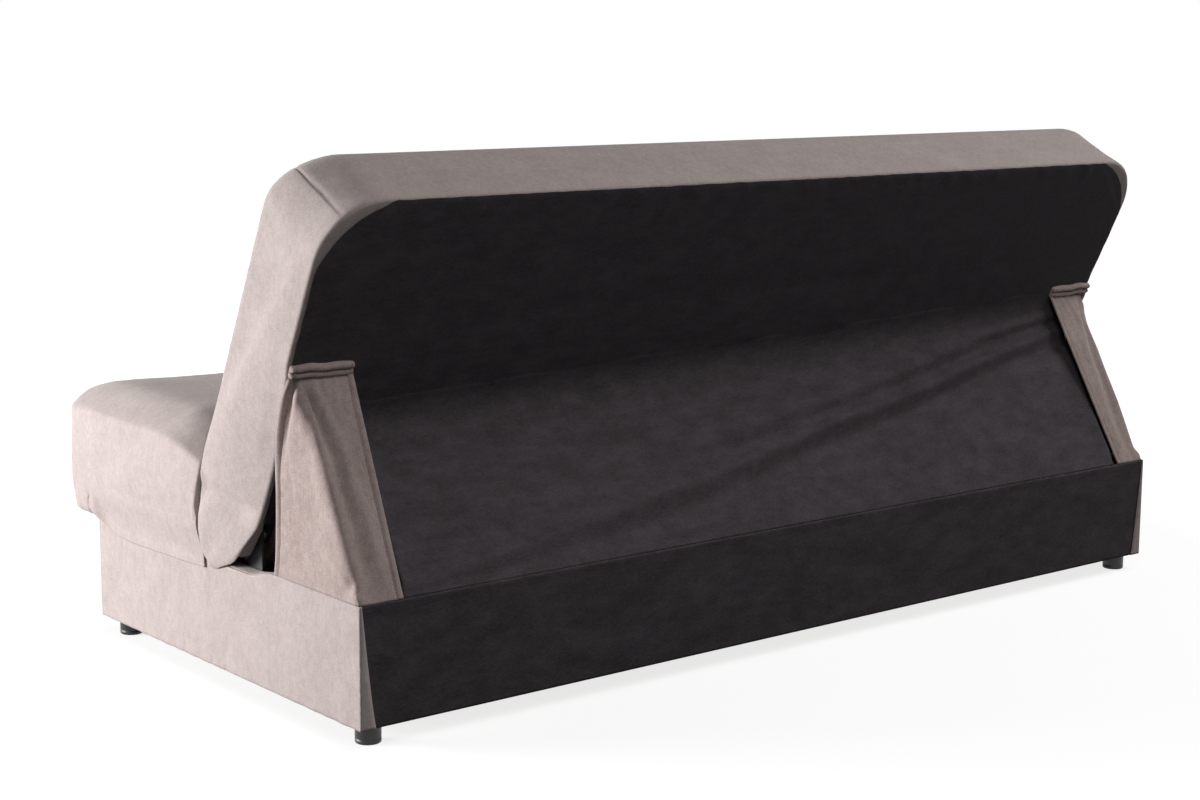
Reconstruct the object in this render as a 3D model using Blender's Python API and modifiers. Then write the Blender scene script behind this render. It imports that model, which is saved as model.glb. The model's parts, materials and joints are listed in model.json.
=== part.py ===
"""An armless sofa bed: a storage box, a seat that lifts and a back that reclines.

The origin is on the floor under the middle of the sofa. +X runs along the sofa to the sitter's
left, +Y points to its rear and +Z points up. A place in the side view is written (forward, up):
forward is counted from the rear face of the box towards the front. On the back, the same pair is
(across, along): from its hinge through its thickness, and up its length.
"""

from math import cos, pi, radians, sin, sqrt, tan

import bmesh
import bpy
from mathutils import Vector

# The gap between touching pieces, and the overrun of a cutter
GAP = 0.0003
OVERRUN = 0.02

# Mesh settings: points closer than this merge, and edges sharper than this stay sharp
MERGE_DISTANCE = 0.00003
SHARP_ANGLE = radians(40)
PLATE_HOLE_STEPS = 16
BAR_END_STEPS = 8
PANEL_CORNER_STEPS = 6
COVER_RISE_STEPS = 6
TURNED_STEPS = 16
FOOT_STEPS = 20

# The storage box
BASE_WIDTH = 1.92
BASE_DEPTH = 0.874
BASE_TOP = 0.215
REAR_RISE = 0.0155
RISE_LENGTH = 0.09
RISE_END = 0.34
BOTTOM_THICKNESS = 0.003
BOARD_THICKNESS = 0.024
COVER_THICKNESS = 0.004
BLOCK_SIDE = 0.04
BLOCK_HEIGHT = 0.15
BOARD_EDGE = 0.002

# The feet
FOOT_HEIGHT = 0.032
FOOT_RADIUS = 0.021
FOOT_FLANGE_RADIUS = 0.025
FOOT_FLANGE_HEIGHT = 0.004
FOOT_CHAMFER = 0.003
FOOT_SIDE_INSET = 0.038
FOOT_REAR_INSET = 0.036
FOOT_FRONT_INSET = 0.044

# The hinge of the back, and the back at rest
HINGE_FORWARD = 0.358
HINGE_UP = 0.272
BACK_LEAN = radians(26)
BACK_LENGTH = 0.66
BACK_THICKNESS = 0.1825
BACK_BEHIND_HINGE = 0.0325
BACK_CORNER_RADIUS = 0.11
BACK_TOP_RADIUS = 0.05
BACK_REAR_RADIUS = 0.012
BACK_HEEL_RADIUS = 0.014
BACK_CROWN = 0.012
BACK_TOP_SLOPE = 0.008

# Points round the lower end of the back, as shares of its thickness and length
BACK_HEEL_SHARES = (
    (0.10, -0.056),
    (0.48, -0.160),
    (0.66, -0.129),
    (0.825, -0.030),
    (0.90, 0.045),
    (1.0, 0.18),
)
BACK_HEEL_TURNED = (False, True, True, False, False, False)
BACK_REAR_START_SHARE = 0.053
BACK_CROWN_SHARE = 0.55

# The cushions
CUSHION_OVERHANG = 0.015
CUSHION_EDGE = 0.022
CUSHION_DRAW = 0.006
CORNER_STEPS = 3
CORNER_REACH_SHARE = 0.45
EDGE_STEPS = 3
TURN_STEPS = 5
SPAN_SHARES = (0.0, 0.3, 0.6, 0.85)

# The seat
SEAT_OVERHANG = 0.109
SEAT_FRONT_TOP = 0.452
SEAT_REAR_TOP = 0.397
SEAT_CROWN_SHARES = ((0.19, 0.74), (0.42, 0.95))
SEAT_SIDE_RADIUS = 0.045
SEAT_REAR_DROP_SHARE = 0.5
SEAT_UNDERSIDE = 0.219
SEAT_FRONT_SLOPE = 0.009
SEAT_FRONT_START = 0.262
SEAT_TOP_RADIUS = 0.05
SEAT_NOSE_RADIUS = 0.02
SEAT_REAR_RADIUS = 0.025
SEAM_CLEARANCE = 0.003
SEAT_REAR_SHARES = (0.0, 0.35, 0.72)
SWEEP_STEPS = 32

# The seat's frame and its flaps
RAIL_WIDTH = 0.04
SEAT_RAIL_HEIGHT = 0.0447
SEAT_FRAME_INSET = 0.014
FLAP_THICKNESS = 0.004
FLAP_BOTTOM = 0.19
FLAP_CLEARANCE = 0.002
SKIN_THICKNESS = 0.0015

# The back's frame, rear panel and straps
BACK_RAIL_THICKNESS = 0.046
BACK_FRAME_START = 0.05
BACK_FRAME_MARGIN = 0.04
PANEL_THICKNESS = 0.002
PANEL_MARGIN = 0.007
PANEL_TOP_MARGIN = 0.005
POCKET_INSIDE = 0.075
POCKET_WALL = 0.0125
STRAP_THICKNESS = 0.0045
STRAP_HEIGHT = 0.024
STRAP_ALONG = 0.338
STRAP_WIDTH = 0.118
STRAP_INSET = 0.004

# The steel plates, from the box inwards: bracket, link, arm
PLATE_THICKNESS = 0.005
PLATE_SPACING = 0.003
PIN_RADIUS = 0.006
PIN_CLEARANCE = 0.0003
PIN_COLLAR_RADIUS = 0.0105
PIN_END_GAP = 0.0006
EYE_RADIUS = 0.022
ARM_WIDTH = 0.03
BACK_ARM_LENGTH = 0.30
BACK_ARM_OFFSET = 0.012
SEAT_ARM_LENGTH = 0.22
BRACKET_FOOT_UP = 0.05
BRACKET_TOP = 0.185
BRACKET_REAR_MARGIN = 0.05
BRACKET_FRONT_MARGIN = 0.06
BRACKET_RADIUS = 0.012

# The swing links that carry the rear of the seat
LINK_LENGTH = 0.185
LINK_LEAN = radians(30)
LINK_FOOT_FORWARD = 0.64
LINK_FOOT_UP = 0.08
RECLINE_RANGE = radians(90) - BACK_LEAN

# The zigzag springs
SPRING_RADIUS = 0.0018
SPRING_SWING = 0.03
SPRING_PITCH = 0.045
SPRING_LEAD = 0.015
SPRING_DEPTH = 0.012
SPRING_PLACE_SHARES = (-0.72, -0.34, 0.34, 0.72)

# The side wings and the dust curtain
CLOTH_THICKNESS = 0.003
WING_FRONT = 0.25
WING_REAR_WIDTH = 0.082
WING_FOLD_DEPTH = 0.014
WING_TOP_FOLD_SHARE = 0.27
WING_SIDE_STEPS = 9
WING_REAR_STEPS = 5
WING_ROWS = 10
CLOTH_STAND = 0.002
CURTAIN_ALONG = 0.27
CURTAIN_THICKNESS = 0.002
CURTAIN_TOP_INSET = 0.03
CURTAIN_FOOT_INSET = 0.105
CURTAIN_COLUMNS = 22
CURTAIN_ROWS = 9
CURTAIN_FOLD_DEPTH = 0.012
CURTAIN_FOLD_WIDTH_SHARE = 0.10
CURTAIN_FOLD_SHARES = ((0.02, 0.95, 0.10), (0.04, 0.55, 0.30))

# Derived sizes
HALF_BASE = BASE_WIDTH / 2
HALF_CUSHION = HALF_BASE + CUSHION_OVERHANG
SEAT_FRONT = BASE_DEPTH + SEAT_OVERHANG
REAR_Y = SEAT_FRONT / 2
COVER_INNER = HALF_BASE - COVER_THICKNESS
BOARD_OUTER = COVER_INNER - GAP
BOARD_INNER = BOARD_OUTER - BOARD_THICKNESS
REAR_BOARD_REAR = COVER_THICKNESS + GAP
REAR_BOARD_FRONT = REAR_BOARD_REAR + BOARD_THICKNESS
FRONT_BOARD_FRONT = BASE_DEPTH - COVER_THICKNESS - GAP
FRONT_BOARD_REAR = FRONT_BOARD_FRONT - BOARD_THICKNESS
BOARD_BOTTOM = FOOT_HEIGHT + 2 * GAP + BOTTOM_THICKNESS
COVER_REAR_TOP = BASE_TOP + REAR_RISE
BOARD_REAR_TOP = COVER_REAR_TOP - COVER_THICKNESS
BRACKET_OUTER = BOARD_INNER - GAP
LINK_OUTER = BRACKET_OUTER - PLATE_THICKNESS - PLATE_SPACING
ARM_OUTER = LINK_OUTER - PLATE_THICKNESS - PLATE_SPACING
FRAME_HALF = ARM_OUTER - PLATE_THICKNESS - GAP
SEAT_FRAME_BOTTOM = BASE_TOP + GAP
SEAT_FRAME_TOP = SEAT_FRAME_BOTTOM + SEAT_RAIL_HEIGHT
BACK_FRONT = BACK_THICKNESS - BACK_BEHIND_HINGE
PANEL_REAR = -BACK_BEHIND_HINGE
CUSHION_REAR = PANEL_REAR + PANEL_THICKNESS + GAP
BACK_FRAME_REAR = CUSHION_REAR
BACK_FRAME_FRONT = BACK_FRAME_REAR + BACK_RAIL_THICKNESS
BACK_FRAME_TOP = BACK_LENGTH - BACK_FRAME_MARGIN
LINK_FOOT = (LINK_FOOT_FORWARD, LINK_FOOT_UP)
SEAT_PIN = (
    LINK_FOOT_FORWARD - LINK_LENGTH * sin(LINK_LEAN),
    LINK_FOOT_UP + LINK_LENGTH * cos(LINK_LEAN),
)
SIDES = (("left", 1), ("right", -1))

# Colour, roughness and metallic value of each finish
FINISHES = {
    "fabric": ((0.62, 0.54, 0.50), 0.95, 0.0),
    "nonwoven": ((0.020, 0.018, 0.018), 0.85, 0.0),
    "wood": ((0.60, 0.44, 0.27), 0.65, 0.0),
    "board": ((0.45, 0.33, 0.21), 0.75, 0.0),
    "steel": ((0.10, 0.10, 0.11), 0.45, 0.8),
    "zinc": ((0.60, 0.60, 0.62), 0.35, 1.0),
    "plastic": ((0.018, 0.018, 0.018), 0.5, 0.0),
}


def on_side_view(across, along, turned=0.0):
    """The (forward, up) place of a point of the back, after it has reclined by an angle."""
    lean = BACK_LEAN + turned
    forward = HINGE_FORWARD + across * cos(lean) - along * sin(lean)
    return forward, HINGE_UP + across * sin(lean) + along * cos(lean)


def rounded(corners):
    """The outline through (forward, up, radius) corners, turned by a short curve where asked."""
    outline = []
    for i, (forward, up, radius) in enumerate(corners):
        here = Vector((forward, up))
        if radius == 0:
            outline.append(here)
            continue
        before = Vector(corners[i - 1][:2]) - here
        after = Vector(corners[(i + 1) % len(corners)][:2]) - here
        wanted = radius / tan(before.angle(after) / 2)
        reach = min(wanted, before.length * CORNER_REACH_SHARE, after.length * CORNER_REACH_SHARE)
        start = here + before.normalized() * reach
        end = here + after.normalized() * reach
        for step in range(CORNER_STEPS + 1):
            share = step / CORNER_STEPS
            outline.append(start * (1 - share) ** 2 + here * 2 * share * (1 - share) + end * share**2)
    return outline


def back_corners(top=BACK_LENGTH, drop=0.0, crown=0.0):
    """The back's side profile as (across, along, radius), with its top and front face given."""
    front = BACK_FRONT - drop
    corners = [(CUSHION_REAR, BACK_REAR_START_SHARE * BACK_LENGTH, BACK_REAR_RADIUS)]
    for (across, along), turned in zip(BACK_HEEL_SHARES, BACK_HEEL_TURNED):
        place = CUSHION_REAR + across * (front - CUSHION_REAR)
        corners.append((place, along * BACK_LENGTH, BACK_HEEL_RADIUS if turned else 0))
    middle = BACK_CROWN_SHARE * top
    corners.append((front + crown, middle, 0))
    corners.append((front, top, BACK_TOP_RADIUS))
    corners.append((CUSHION_REAR, top - BACK_TOP_SLOPE, BACK_REAR_RADIUS))
    return corners


def back_reach(up):
    """How far forward the back comes at a height while it reclines."""
    outline = rounded(back_corners(crown=BACK_CROWN))
    furthest = HINGE_FORWARD
    for step in range(SWEEP_STEPS + 1):
        turned = RECLINE_RANGE * step / SWEEP_STEPS
        points = [on_side_view(across, along, turned) for across, along in outline]
        for (a, a_up), (b, b_up) in zip(points, points[1:] + points[:1]):
            if (a_up - up) * (b_up - up) <= 0 and a_up != b_up:
                furthest = max(furthest, a + (b - a) * (up - a_up) / (b_up - a_up))
    return furthest


# The seat's rear end, a named clearance in front of the back
SEAT_REAR_HEIGHTS = [
    SEAT_FRAME_TOP + GAP + share * (SEAT_REAR_TOP - SEAT_FRAME_TOP) for share in SEAT_REAR_SHARES
]
SEAT_REARS = [back_reach(up) + SEAM_CLEARANCE for up in SEAT_REAR_HEIGHTS]
SEAT_TOP_REAR = back_reach(SEAT_REAR_TOP) + SEAM_CLEARANCE
SEAT_FRAME_REAR = max(SEAT_REARS) + SEAT_FRAME_INSET
SEAT_RAIL_FRONT = FRONT_BOARD_FRONT
SEAT_LIP = BASE_DEPTH + 2 * GAP


def clear_scene():
    for obj in list(bpy.data.objects):
        bpy.data.objects.remove(obj, do_unlink=True)


def new_collection(name):
    collection = bpy.data.collections.new(name)
    bpy.context.scene.collection.children.link(collection)
    return collection


def new_material(name, finish):
    color, roughness, metallic = FINISHES[finish]
    material = bpy.data.materials.new(name)
    material.use_nodes = True
    shader = material.node_tree.nodes["Principled BSDF"]
    shader.inputs["Base Color"].default_value = (*color, 1)
    shader.inputs["Roughness"].default_value = roughness
    shader.inputs["Metallic"].default_value = metallic
    return material


class Maker:
    """Makes named objects in one body's frame: an empty on its joint's axis carries them.

    Points are given in the side view, counted from the rear of the box, except on the back,
    whose own frame starts at its hinge and leans with it.
    """

    def __init__(self, collection, carrier, origin=(0.0, 0.0)):
        self.collection = collection
        self.carrier = carrier
        self.origin = Vector((0, origin[0], -origin[1]))

    def add(self, name, data, finish, location=(0, 0, 0), rotation=(0, 0, 0)):
        obj = bpy.data.objects.new(name, data)
        self.collection.objects.link(obj)
        obj.parent = self.carrier
        obj.location = self.origin + Vector(location)
        obj.rotation_euler = rotation
        data.materials.append(new_material(name, finish))
        return obj

    def box(self, name, finish, xs, forwards, ups, edge=0.0):
        """A box from its spans along x, forward and up, with its edges bevelled."""
        size = Vector((xs[1] - xs[0], forwards[1] - forwards[0], ups[1] - ups[0]))
        middle = Vector((sum(xs) / 2, -sum(forwards) / 2, sum(ups) / 2))
        shape = bmesh.new()
        bmesh.ops.create_cube(shape, size=1)
        bmesh.ops.scale(shape, verts=shape.verts, vec=size)
        mesh = bpy.data.meshes.new(name)
        shape.to_mesh(mesh)
        shape.free()
        obj = self.add(name, mesh, finish, middle)
        if edge:
            bevel = obj.modifiers.new("edges", "BEVEL")
            bevel.width = edge
            bevel.segments = 1
        return obj

    def plate(self, name, finish, outline, xs, holes=()):
        """A flat plate that faces sideways, cut to an outline, with round holes."""
        curve = bpy.data.curves.new(name, "CURVE")
        curve.dimensions = "2D"
        curve.fill_mode = "BOTH"
        curve.extrude = abs(xs[1] - xs[0]) / 2
        for ring in (outline, *[circle(*hole) for hole in holes]):
            spline = curve.splines.new("POLY")
            spline.points.add(len(ring) - 1)
            spline.use_cyclic_u = True
            for point, (forward, up) in zip(spline.points, ring):
                point.co = (-forward, up, 0, 1)
        turn = (pi / 2, 0, pi / 2)
        return self.add(name, curve, finish, (sum(xs) / 2, 0, 0), turn)

    def turned(self, name, finish, profile, place, x_side=None, steps=TURNED_STEPS):
        """A turned piece: (radius, height) points from its top down, upright or along x."""
        mesh = bpy.data.meshes.new(name)
        points = [(radius, 0, height) for radius, height in profile]
        mesh.from_pydata(points, [(i, i + 1) for i in range(len(points) - 1)], [])
        rotation = (0, 0, 0) if x_side is None else (0, x_side * pi / 2, 0)
        obj = self.add(name, mesh, finish, place, rotation)
        screw = obj.modifiers.new("turn", "SCREW")
        screw.steps = screw.render_steps = steps
        screw.use_merge_vertices = True
        screw.merge_threshold = MERGE_DISTANCE
        return obj

    def loft(self, name, finish, rings):
        """A closed soft form through rings of (x, forward, up) points, smooth all over."""
        shape = bmesh.new()
        rows = [[shape.verts.new((x, -forward, up)) for x, forward, up in ring] for ring in rings]
        for low, high in zip(rows, rows[1:]):
            for i in range(len(low)):
                shape.faces.new((low[i - 1], low[i], high[i], high[i - 1]))
        shape.faces.new(rows[0])
        shape.faces.new(rows[-1])
        bmesh.ops.recalc_face_normals(shape, faces=shape.faces)
        mesh = bpy.data.meshes.new(name)
        shape.to_mesh(mesh)
        shape.free()
        mesh.shade_smooth()
        mesh.set_sharp_from_angle(angle=SHARP_ANGLE)
        return self.add(name, mesh, finish)

    def cloth(self, name, finish, rows, thickness):
        """A sheet of cloth through rows of (x, forward, up) points."""
        shape = bmesh.new()
        lines = [[shape.verts.new((x, -forward, up)) for x, forward, up in row] for row in rows]
        for low, high in zip(lines, lines[1:]):
            for i in range(len(low) - 1):
                shape.faces.new((low[i], low[i + 1], high[i + 1], high[i]))
        bmesh.ops.recalc_face_normals(shape, faces=shape.faces)
        mesh = bpy.data.meshes.new(name)
        shape.to_mesh(mesh)
        shape.free()
        mesh.shade_smooth()
        obj = self.add(name, mesh, finish)
        solid = obj.modifiers.new("thickness", "SOLIDIFY")
        solid.thickness = thickness
        solid.offset = 0
        return obj

    def zigzag(self, name, finish, places):
        """A sinuous spring through (x, forward, up) places."""
        curve = bpy.data.curves.new(name, "CURVE")
        curve.dimensions = "3D"
        curve.bevel_depth = SPRING_RADIUS
        curve.bevel_resolution = 1
        curve.use_fill_caps = True
        spline = curve.splines.new("POLY")
        spline.points.add(len(places) - 1)
        for point, (x, forward, up) in zip(spline.points, places):
            point.co = (x, -forward, up, 1)
        return self.add(name, curve, finish)


def circle(place, radius):
    """A round outline about a place."""
    outline = []
    for i in range(PLATE_HOLE_STEPS):
        angle = 2 * pi * i / PLATE_HOLE_STEPS
        outline.append((place[0] + radius * cos(angle), place[1] + radius * sin(angle)))
    return outline


def bar_outline(start, end, radius):
    """A bar with round ends about two centres."""
    run = Vector(end) - Vector(start)
    heading = run.angle_signed(Vector((1, 0)))
    outline = []
    for centre, first in ((end, heading - pi / 2), (start, heading + pi / 2)):
        for i in range(BAR_END_STEPS + 1):
            angle = first + pi * i / BAR_END_STEPS
            outline.append((centre[0] + radius * cos(angle), centre[1] + radius * sin(angle)))
    return outline


def mirrored(side, near, far):
    """An x span on one side of the sofa, low value first."""
    return (near, far) if side > 0 else (-far, -near)


def empty(collection, name, parent, forward, up, rotation=(0, 0, 0)):
    """An empty on a joint's axis."""
    obj = bpy.data.objects.new(name, None)
    collection.objects.link(obj)
    obj.parent = parent
    obj.location = (0, -forward, up)
    obj.rotation_euler = rotation
    return obj


def cover_top(cover):
    """The top edge of a box side, rear to front: high behind the back, then a smooth fall."""
    high = COVER_REAR_TOP if cover else BOARD_REAR_TOP
    points = []
    for i in range(COVER_RISE_STEPS + 1):
        share = i / COVER_RISE_STEPS
        fall = (1 - cos(pi * share)) / 2
        points.append((RISE_END - RISE_LENGTH * (1 - share), high + (BASE_TOP - high) * fall))
    return points


def make_box(base):
    """The boards, blocks, feet and covers of the storage box."""
    base.box(
        "bottom_panel",
        "board",
        (-BOARD_OUTER, BOARD_OUTER),
        (REAR_BOARD_REAR, FRONT_BOARD_FRONT),
        (FOOT_HEIGHT + GAP, FOOT_HEIGHT + GAP + BOTTOM_THICKNESS),
    )
    base.box(
        "rear_board",
        "wood",
        (-BOARD_OUTER, BOARD_OUTER),
        (REAR_BOARD_REAR, REAR_BOARD_FRONT),
        (BOARD_BOTTOM, BOARD_REAR_TOP),
        BOARD_EDGE,
    )
    base.box(
        "front_board",
        "wood",
        (-BOARD_OUTER, BOARD_OUTER),
        (FRONT_BOARD_REAR, FRONT_BOARD_FRONT),
        (BOARD_BOTTOM, BASE_TOP),
        BOARD_EDGE,
    )
    base.box(
        "front_cover",
        "fabric",
        (-HALF_BASE, HALF_BASE),
        (BASE_DEPTH - COVER_THICKNESS, BASE_DEPTH),
        (FOOT_HEIGHT + GAP, BASE_TOP),
    )
    base.box(
        "rear_cover",
        "nonwoven",
        (-COVER_INNER + GAP, COVER_INNER - GAP),
        (0.0, COVER_THICKNESS),
        (FOOT_HEIGHT + GAP, COVER_REAR_TOP),
    )
    for word, side in SIDES:
        make_box_side(base, word, side)


def make_box_side(base, word, side):
    board_rear = REAR_BOARD_FRONT + GAP
    board_front = FRONT_BOARD_REAR - GAP
    board = [(board_rear, BOARD_BOTTOM), (board_rear, BOARD_REAR_TOP), *cover_top(False)]
    board += [(board_front, BASE_TOP), (board_front, BOARD_BOTTOM)]
    base.plate("side_board_" + word, "wood", board, mirrored(side, BOARD_INNER, BOARD_OUTER))
    cover_front = BASE_DEPTH - COVER_THICKNESS - GAP
    cover = [(0.0, FOOT_HEIGHT + GAP), (0.0, COVER_REAR_TOP), *cover_top(True)]
    cover += [(cover_front, BASE_TOP), (cover_front, FOOT_HEIGHT + GAP)]
    base.plate("side_cover_" + word, "fabric", cover, mirrored(side, COVER_INNER, HALF_BASE))
    block_outer = BOARD_INNER - GAP
    foot_x = side * (HALF_BASE - FOOT_SIDE_INSET)
    foot = [
        (0.0, FOOT_HEIGHT),
        (FOOT_FLANGE_RADIUS, FOOT_HEIGHT),
        (FOOT_FLANGE_RADIUS, FOOT_HEIGHT - FOOT_FLANGE_HEIGHT),
        (FOOT_RADIUS, FOOT_HEIGHT - FOOT_FLANGE_HEIGHT),
        (FOOT_RADIUS, FOOT_CHAMFER),
        (FOOT_RADIUS - FOOT_CHAMFER, 0.0),
        (0.0, 0.0),
    ]
    ends = (
        ("rear", REAR_BOARD_FRONT + GAP, 1, FOOT_REAR_INSET),
        ("front", FRONT_BOARD_REAR - GAP, -1, BASE_DEPTH - FOOT_FRONT_INSET),
    )
    for end, face, way, foot_forward in ends:
        name = end + "_" + word
        spans = sorted((face, face + way * BLOCK_SIDE))
        base.box(
            "corner_block_" + name,
            "wood",
            mirrored(side, block_outer - BLOCK_SIDE, block_outer),
            spans,
            (BOARD_BOTTOM, BOARD_BOTTOM + BLOCK_HEIGHT),
            BOARD_EDGE,
        )
        base.turned("foot_" + name, "plastic", foot, (foot_x, -foot_forward, 0), steps=FOOT_STEPS)


def make_pin(maker, name, place, side, inner_plate, outer_plate):
    """A riveted pin through two plates, given as their outer faces, with a collar between them."""
    inner = inner_plate - PLATE_THICKNESS + GAP
    outer = outer_plate - PIN_END_GAP
    collar = (inner_plate + GAP, outer_plate - PLATE_THICKNESS - GAP)
    profile = [
        (0.0, outer),
        (PIN_RADIUS, outer),
        (PIN_RADIUS, collar[1]),
        (PIN_COLLAR_RADIUS, collar[1]),
        (PIN_COLLAR_RADIUS, collar[0]),
        (PIN_RADIUS, collar[0]),
        (PIN_RADIUS, inner),
        (0.0, inner),
    ]
    maker.turned(name, "zinc", profile, (0, -place[0], place[1]), side)


def make_brackets(base):
    """The brackets on the box, with the pins of the back's hinge and of the swing links."""
    hinge = (HINGE_FORWARD, HINGE_UP)
    rear = HINGE_FORWARD - EYE_RADIUS
    front = LINK_FOOT_FORWARD + BRACKET_FRONT_MARGIN
    outline = rounded(
        [
            (rear - BRACKET_REAR_MARGIN, BRACKET_FOOT_UP, BRACKET_RADIUS),
            (front, BRACKET_FOOT_UP, BRACKET_RADIUS),
            (front, LINK_FOOT_UP + EYE_RADIUS, EYE_RADIUS),
            (HINGE_FORWARD + EYE_RADIUS + BRACKET_REAR_MARGIN, BRACKET_TOP, BRACKET_RADIUS),
            (HINGE_FORWARD + EYE_RADIUS, BRACKET_TOP, BRACKET_RADIUS),
            (HINGE_FORWARD + EYE_RADIUS, HINGE_UP + EYE_RADIUS, EYE_RADIUS),
            (rear, HINGE_UP + EYE_RADIUS, EYE_RADIUS),
            (rear, BRACKET_TOP, BRACKET_RADIUS),
            (rear - BRACKET_REAR_MARGIN, BRACKET_TOP, BRACKET_RADIUS),
        ]
    )
    hole = PIN_RADIUS + PIN_CLEARANCE
    for word, side in SIDES:
        span = mirrored(side, BRACKET_OUTER - PLATE_THICKNESS, BRACKET_OUTER)
        base.plate("hinge_bracket_" + word, "steel", outline, span, ((hinge, hole), (LINK_FOOT, hole)))
        make_pin(base, "back_pivot_pin_" + word, hinge, side, ARM_OUTER, BRACKET_OUTER)
        make_pin(base, "link_pivot_pin_" + word, LINK_FOOT, side, LINK_OUTER, BRACKET_OUTER)


def make_links(links):
    """The swing links, with the pins that carry the seat."""
    hole = PIN_RADIUS + PIN_CLEARANCE
    outline = bar_outline(LINK_FOOT, SEAT_PIN, ARM_WIDTH / 2)
    for word, side in SIDES:
        span = mirrored(side, LINK_OUTER - PLATE_THICKNESS, LINK_OUTER)
        links.plate("swing_link_" + word, "steel", outline, span, ((LINK_FOOT, hole), (SEAT_PIN, hole)))
        make_pin(links, "seat_pin_" + word, SEAT_PIN, side, ARM_OUTER, LINK_OUTER)


def seat_ring(x, drop):
    """The seat cushion's side profile at x, with its edge rounded by a drop."""
    swell = 1 - (x / HALF_CUSHION) ** 2
    front = SEAT_FRONT - drop - CUSHION_DRAW * swell
    run = front - SEAT_TOP_REAR
    rise = SEAT_FRONT_TOP - SEAT_REAR_TOP
    corners = [(SEAT_REARS[0], SEAT_REAR_HEIGHTS[0], 0)]
    corners.append((SEAT_LIP, SEAT_FRAME_TOP + GAP, 0))
    corners.append((SEAT_LIP, SEAT_UNDERSIDE, 0))
    corners.append((front - SEAT_FRONT_SLOPE, SEAT_UNDERSIDE, SEAT_NOSE_RADIUS))
    corners.append((front, SEAT_FRONT_START, 0))
    corners.append((front, SEAT_FRONT_TOP - drop, SEAT_TOP_RADIUS))
    for forward_share, rise_share in reversed(SEAT_CROWN_SHARES):
        edge = drop * (SEAT_REAR_DROP_SHARE + (1 - SEAT_REAR_DROP_SHARE) * rise_share)
        corners.append((SEAT_TOP_REAR + forward_share * run, SEAT_REAR_TOP + rise_share * rise - edge, 0))
    corners.append((SEAT_TOP_REAR, SEAT_REAR_TOP - SEAT_REAR_DROP_SHARE * drop, SEAT_REAR_RADIUS))
    for forward, up in reversed(list(zip(SEAT_REARS[1:], SEAT_REAR_HEIGHTS[1:]))):
        corners.append((forward, up, 0))
    return [(x, forward, up) for forward, up in rounded(corners)]


def seat_rings():
    """Rings of the seat cushion, from its left side to its right, with both sides rounded."""
    half = []
    for i in range(EDGE_STEPS + 1):
        angle = pi / 2 * i / EDGE_STEPS
        inset = SEAT_SIDE_RADIUS * (1 - cos(angle))
        half.append((HALF_CUSHION - inset, SEAT_SIDE_RADIUS * (1 - sin(angle))))
    flat = HALF_CUSHION - SEAT_SIDE_RADIUS
    half += [(share * flat, 0.0) for share in reversed(SPAN_SHARES[1:])]
    stations = half + [(0.0, 0.0)] + [(-x, drop) for x, drop in reversed(half)]
    return [seat_ring(x, drop) for x, drop in stations]


def make_seat(seat):
    """The seat cushion, its frame, springs and flaps, and the arms that carry it."""
    seat.loft("seat_cushion", "fabric", seat_rings())
    ups = (SEAT_FRAME_BOTTOM, SEAT_FRAME_TOP)
    rear = (SEAT_FRAME_REAR, SEAT_FRAME_REAR + RAIL_WIDTH)
    front = (SEAT_RAIL_FRONT - RAIL_WIDTH, SEAT_RAIL_FRONT)
    between = (rear[1] + GAP, front[0] - GAP)
    full = (-FRAME_HALF, FRAME_HALF)
    seat.box("seat_rear_rail", "wood", full, rear, ups, BOARD_EDGE)
    seat.box("seat_front_rail", "wood", full, front, ups, BOARD_EDGE)
    seat.box("seat_mid_rail", "wood", (-RAIL_WIDTH / 2, RAIL_WIDTH / 2), between, ups, BOARD_EDGE)
    seat.box(
        "seat_dust_cover",
        "nonwoven",
        full,
        (SEAT_FRAME_REAR, FRONT_BOARD_REAR - GAP),
        (SEAT_FRAME_BOTTOM - GAP - SKIN_THICKNESS, SEAT_FRAME_BOTTOM - GAP),
    )
    arm_end = (SEAT_PIN[0] + SEAT_ARM_LENGTH, SEAT_PIN[1])
    arm = bar_outline(SEAT_PIN, arm_end, ARM_WIDTH / 2)
    hole = PIN_RADIUS + PIN_CLEARANCE
    flap_inner = HALF_BASE + FLAP_CLEARANCE
    flap = [
        (SEAT_FRAME_REAR, FLAP_BOTTOM),
        (SEAT_FRAME_REAR, SEAT_FRAME_TOP),
        (SEAT_LIP, SEAT_FRAME_TOP),
        (SEAT_LIP, FLAP_BOTTOM),
    ]
    for word, side in SIDES:
        rail = mirrored(side, FRAME_HALF - RAIL_WIDTH, FRAME_HALF)
        seat.box("seat_side_rail_" + word, "wood", rail, between, ups, BOARD_EDGE)
        arm_span = mirrored(side, ARM_OUTER - PLATE_THICKNESS, ARM_OUTER)
        seat.plate("seat_arm_" + word, "steel", arm, arm_span, ((SEAT_PIN, hole),))
        flap_span = mirrored(side, flap_inner, flap_inner + FLAP_THICKNESS)
        seat.plate("seat_flap_" + word, "fabric", flap, flap_span)
    for number, share in enumerate(SPRING_PLACE_SHARES, 1):
        x = share * FRAME_HALF
        up = SEAT_FRAME_TOP - SPRING_DEPTH
        places = [(x + offset, forward, up) for offset, forward in zigzag_path(*between)]
        seat.zigzag("seat_spring_" + str(number), "zinc", places)


def zigzag_path(start, end):
    """(offset, distance) points of a sinuous spring between two rails."""
    start += GAP
    end -= GAP
    run = end - start - 2 * SPRING_LEAD
    turns = int(run / SPRING_PITCH)
    pitch = run / turns
    path = [(0.0, start), (0.0, start + SPRING_LEAD)]
    for i in range(turns):
        swing = SPRING_SWING if i % 2 else -SPRING_SWING
        near = start + SPRING_LEAD + i * pitch
        path.append((swing, near + pitch / 4))
        path.append((swing, near + pitch * 3 / 4))
    path += [(0.0, end - SPRING_LEAD), (0.0, end)]
    return path


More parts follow.
